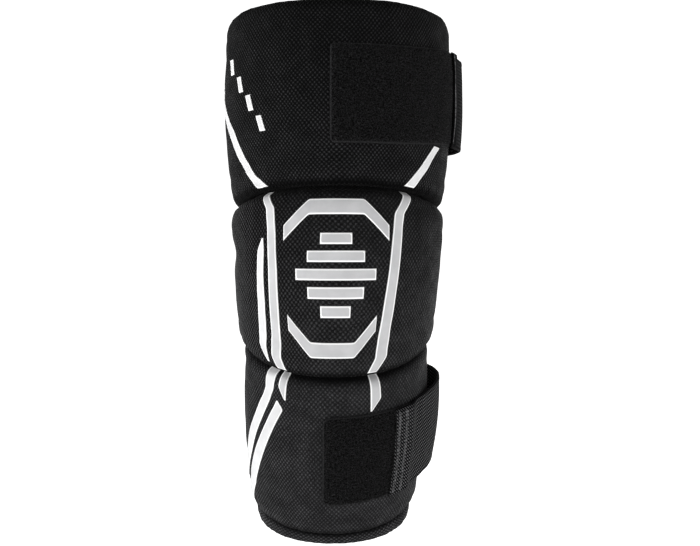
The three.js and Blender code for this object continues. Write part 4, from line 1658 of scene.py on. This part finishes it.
class ArmGuard:
    """The guard, built from the sleeve outwards."""

    def __init__(self) -> None:
        """Lay out the three pads."""
        # Besides shape, each pad sets painted light on its mesh: towards one end, on the -X wing and on its
        # knots.
        self.pads = (
            FoamPad(
                BICEPS, 0.7, pressed=(UPPER.press,), pucker=0.12, sunk=0.0,
                painted_light=(0.5, 1.0), knots_and_painted_side_light=(0.9, 0.8), seed=61,
            ),
            FoamPad(
                ELBOW, 0.75, grooves=(Groove(51, 0.35, 2.0),),
                dents=(Dent(126, -84, 1.6, 7, 16), Dent(118, -80, -0.6, 6, 14)),
                painted_light=(0.8, 1.9), painted_light_wing=0.9, knots_and_painted_side_light=(1.0, 0.55), seed=71,
            ),
            FoamPad(FOREARM, 0.65, FOREARM_PAINTED_LIGHT_MESH, pressed=(LOWER.press,), seed=81),
        )

    def build(self) -> None:
        """Make every piece."""
        surface = Surface(*[pad.build() for pad in self.pads])
        Sleeve().build()
        Hem().build()
        for closure in (UPPER, LOWER):
            closure.build(surface)
        FilmSet().build(surface)
        self.thread()

    def thread(self) -> bpy.types.Object:
        """Sew the pads' ends to the sleeve."""
        stitches: list[Stitch] = []
        for pad in self.pads:
            turn = pad.form.wrap - SEAM_INSET / pad.degree
            for side in (-1, 1):
                stitches += stitch_line(*pad.line(side * turn, 0.04, 0.96), 2.9)
        return sew("pad_thread", stitches, 2.2, 0.45)


class SoftLight(NamedTuple):
    """A soft square light: its place, what it points at, its size and its watts."""

    name: str
    place: Place
    aim: Place
    size: float
    watts: float


@dataclass
class Studio:
    """Plain pale floor, soft light all round, and the camera at the picture's angle."""

    floor_height: float = -0.1665
    floor_reach: float = 6.0
    camera_place: Place = (0.0071, -0.61, -0.0015)
    lens: float = 57.39
    horizon: float = 1.2
    dim: float = 0.3
    glow: float = 0.95

    LIGHTS = (
        SoftLight("left_light", (-0.85, -0.25, -0.02), (0, 0, 0), 0.5, 6.5),
        SoftLight("right_light", (0.85, -0.2, -0.02), (0, 0, 0), 0.5, 3),
        SoftLight("front_light", (-0.1, -1.3, 0.3), (0, 0, 0), 0.9, 1),
        SoftLight("low_light", (0, -0.72, -0.145), (0, 0, -0.09), 0.4, 1.0),
    )
    WHITE = (1, 1, 1, 1)

    def build(self) -> None:
        """Make the floor, the lights and the camera."""
        self._floor()
        self._world()
        for light in self.LIGHTS:
            self._light(light)
        self._camera()

    def _floor(self) -> None:
        """A wide pale floor, lit from under like a light table."""
        corners = np.array([(-1, -1, 0), (1, -1, 0), (1, 1, 0), (-1, 1, 0)]) * self.floor_reach
        corners[:, 2] = self.floor_height
        floor = new_object("floor", corners / MM, np.array([[0, 1, 2, 3]]))
        s = Shade("floor_paint")
        place = s.node("ShaderNodeTexCoord").outputs["Object"]
        tone = s.mixed(s.noise(place, 3.0), (0.93, 0.93, 0.93), (0.95, 0.95, 0.95))
        s.feed(s.shader.inputs["Emission Color"], self.WHITE)
        s.feed(s.shader.inputs["Emission Strength"], self.glow)
        paint = s.finish(tone, s.noise(place, 40.0), 0.02, Roughness=0.9, Specular_IOR_Level=0.1)
        floor.data.materials.append(paint)

    def _world(self) -> None:
        """White light from all round, weaker from overhead and from the front."""
        world = bpy.data.worlds.new("studio")
        world.use_nodes = True
        sky = Nodes(world.node_tree)
        way = sky.node("ShaderNodeTexCoord").outputs["Generated"]
        split = sky.node("ShaderNodeSeparateXYZ", {0: way})
        darker = sky.math(
            "MAXIMUM", sky.eased(split.outputs[2], 0.25, 0.65), sky.eased(split.outputs[1], -0.1, -0.75)
        )
        levels = {"Value": darker, "To Min": self.horizon, "To Max": self.dim}
        background = sky.tree.nodes["Background"]
        sky.feed(background.inputs["Color"], self.WHITE)
        sky.feed(background.inputs["Strength"], sky.node("ShaderNodeMapRange", levels).outputs[0])
        bpy.context.scene.world = world
        bpy.context.scene.view_settings.view_transform = "Standard"

    def _light(self, light: SoftLight) -> None:
        """Hang one light."""
        data = bpy.data.lights.new(light.name, "AREA")
        data.size, data.energy = light.size, light.watts
        lamp = linked(light.name, data)
        lamp.location = light.place
        lamp.rotation_euler = (Vector(light.aim) - Vector(light.place)).to_track_quat("-Z", "Y").to_euler()

    def _camera(self) -> None:
        """The camera, level and square to the guard."""
        data = bpy.data.cameras.new("camera")
        data.lens, data.sensor_width, data.sensor_fit = self.lens, 36.0, "HORIZONTAL"
        data.clip_start = 0.01
        camera = linked("camera", data)
        camera.location = self.camera_place
        camera.rotation_euler = Euler((math.pi / 2, 0, 0))
        bpy.context.scene.camera = camera


def main() -> None:
    """Build the guard and the studio."""
    logging.basicConfig(level=logging.INFO, format="%(name)s %(message)s")
    Studio().build()
    ArmGuard().build()


if __name__ == "__main__":
    main()
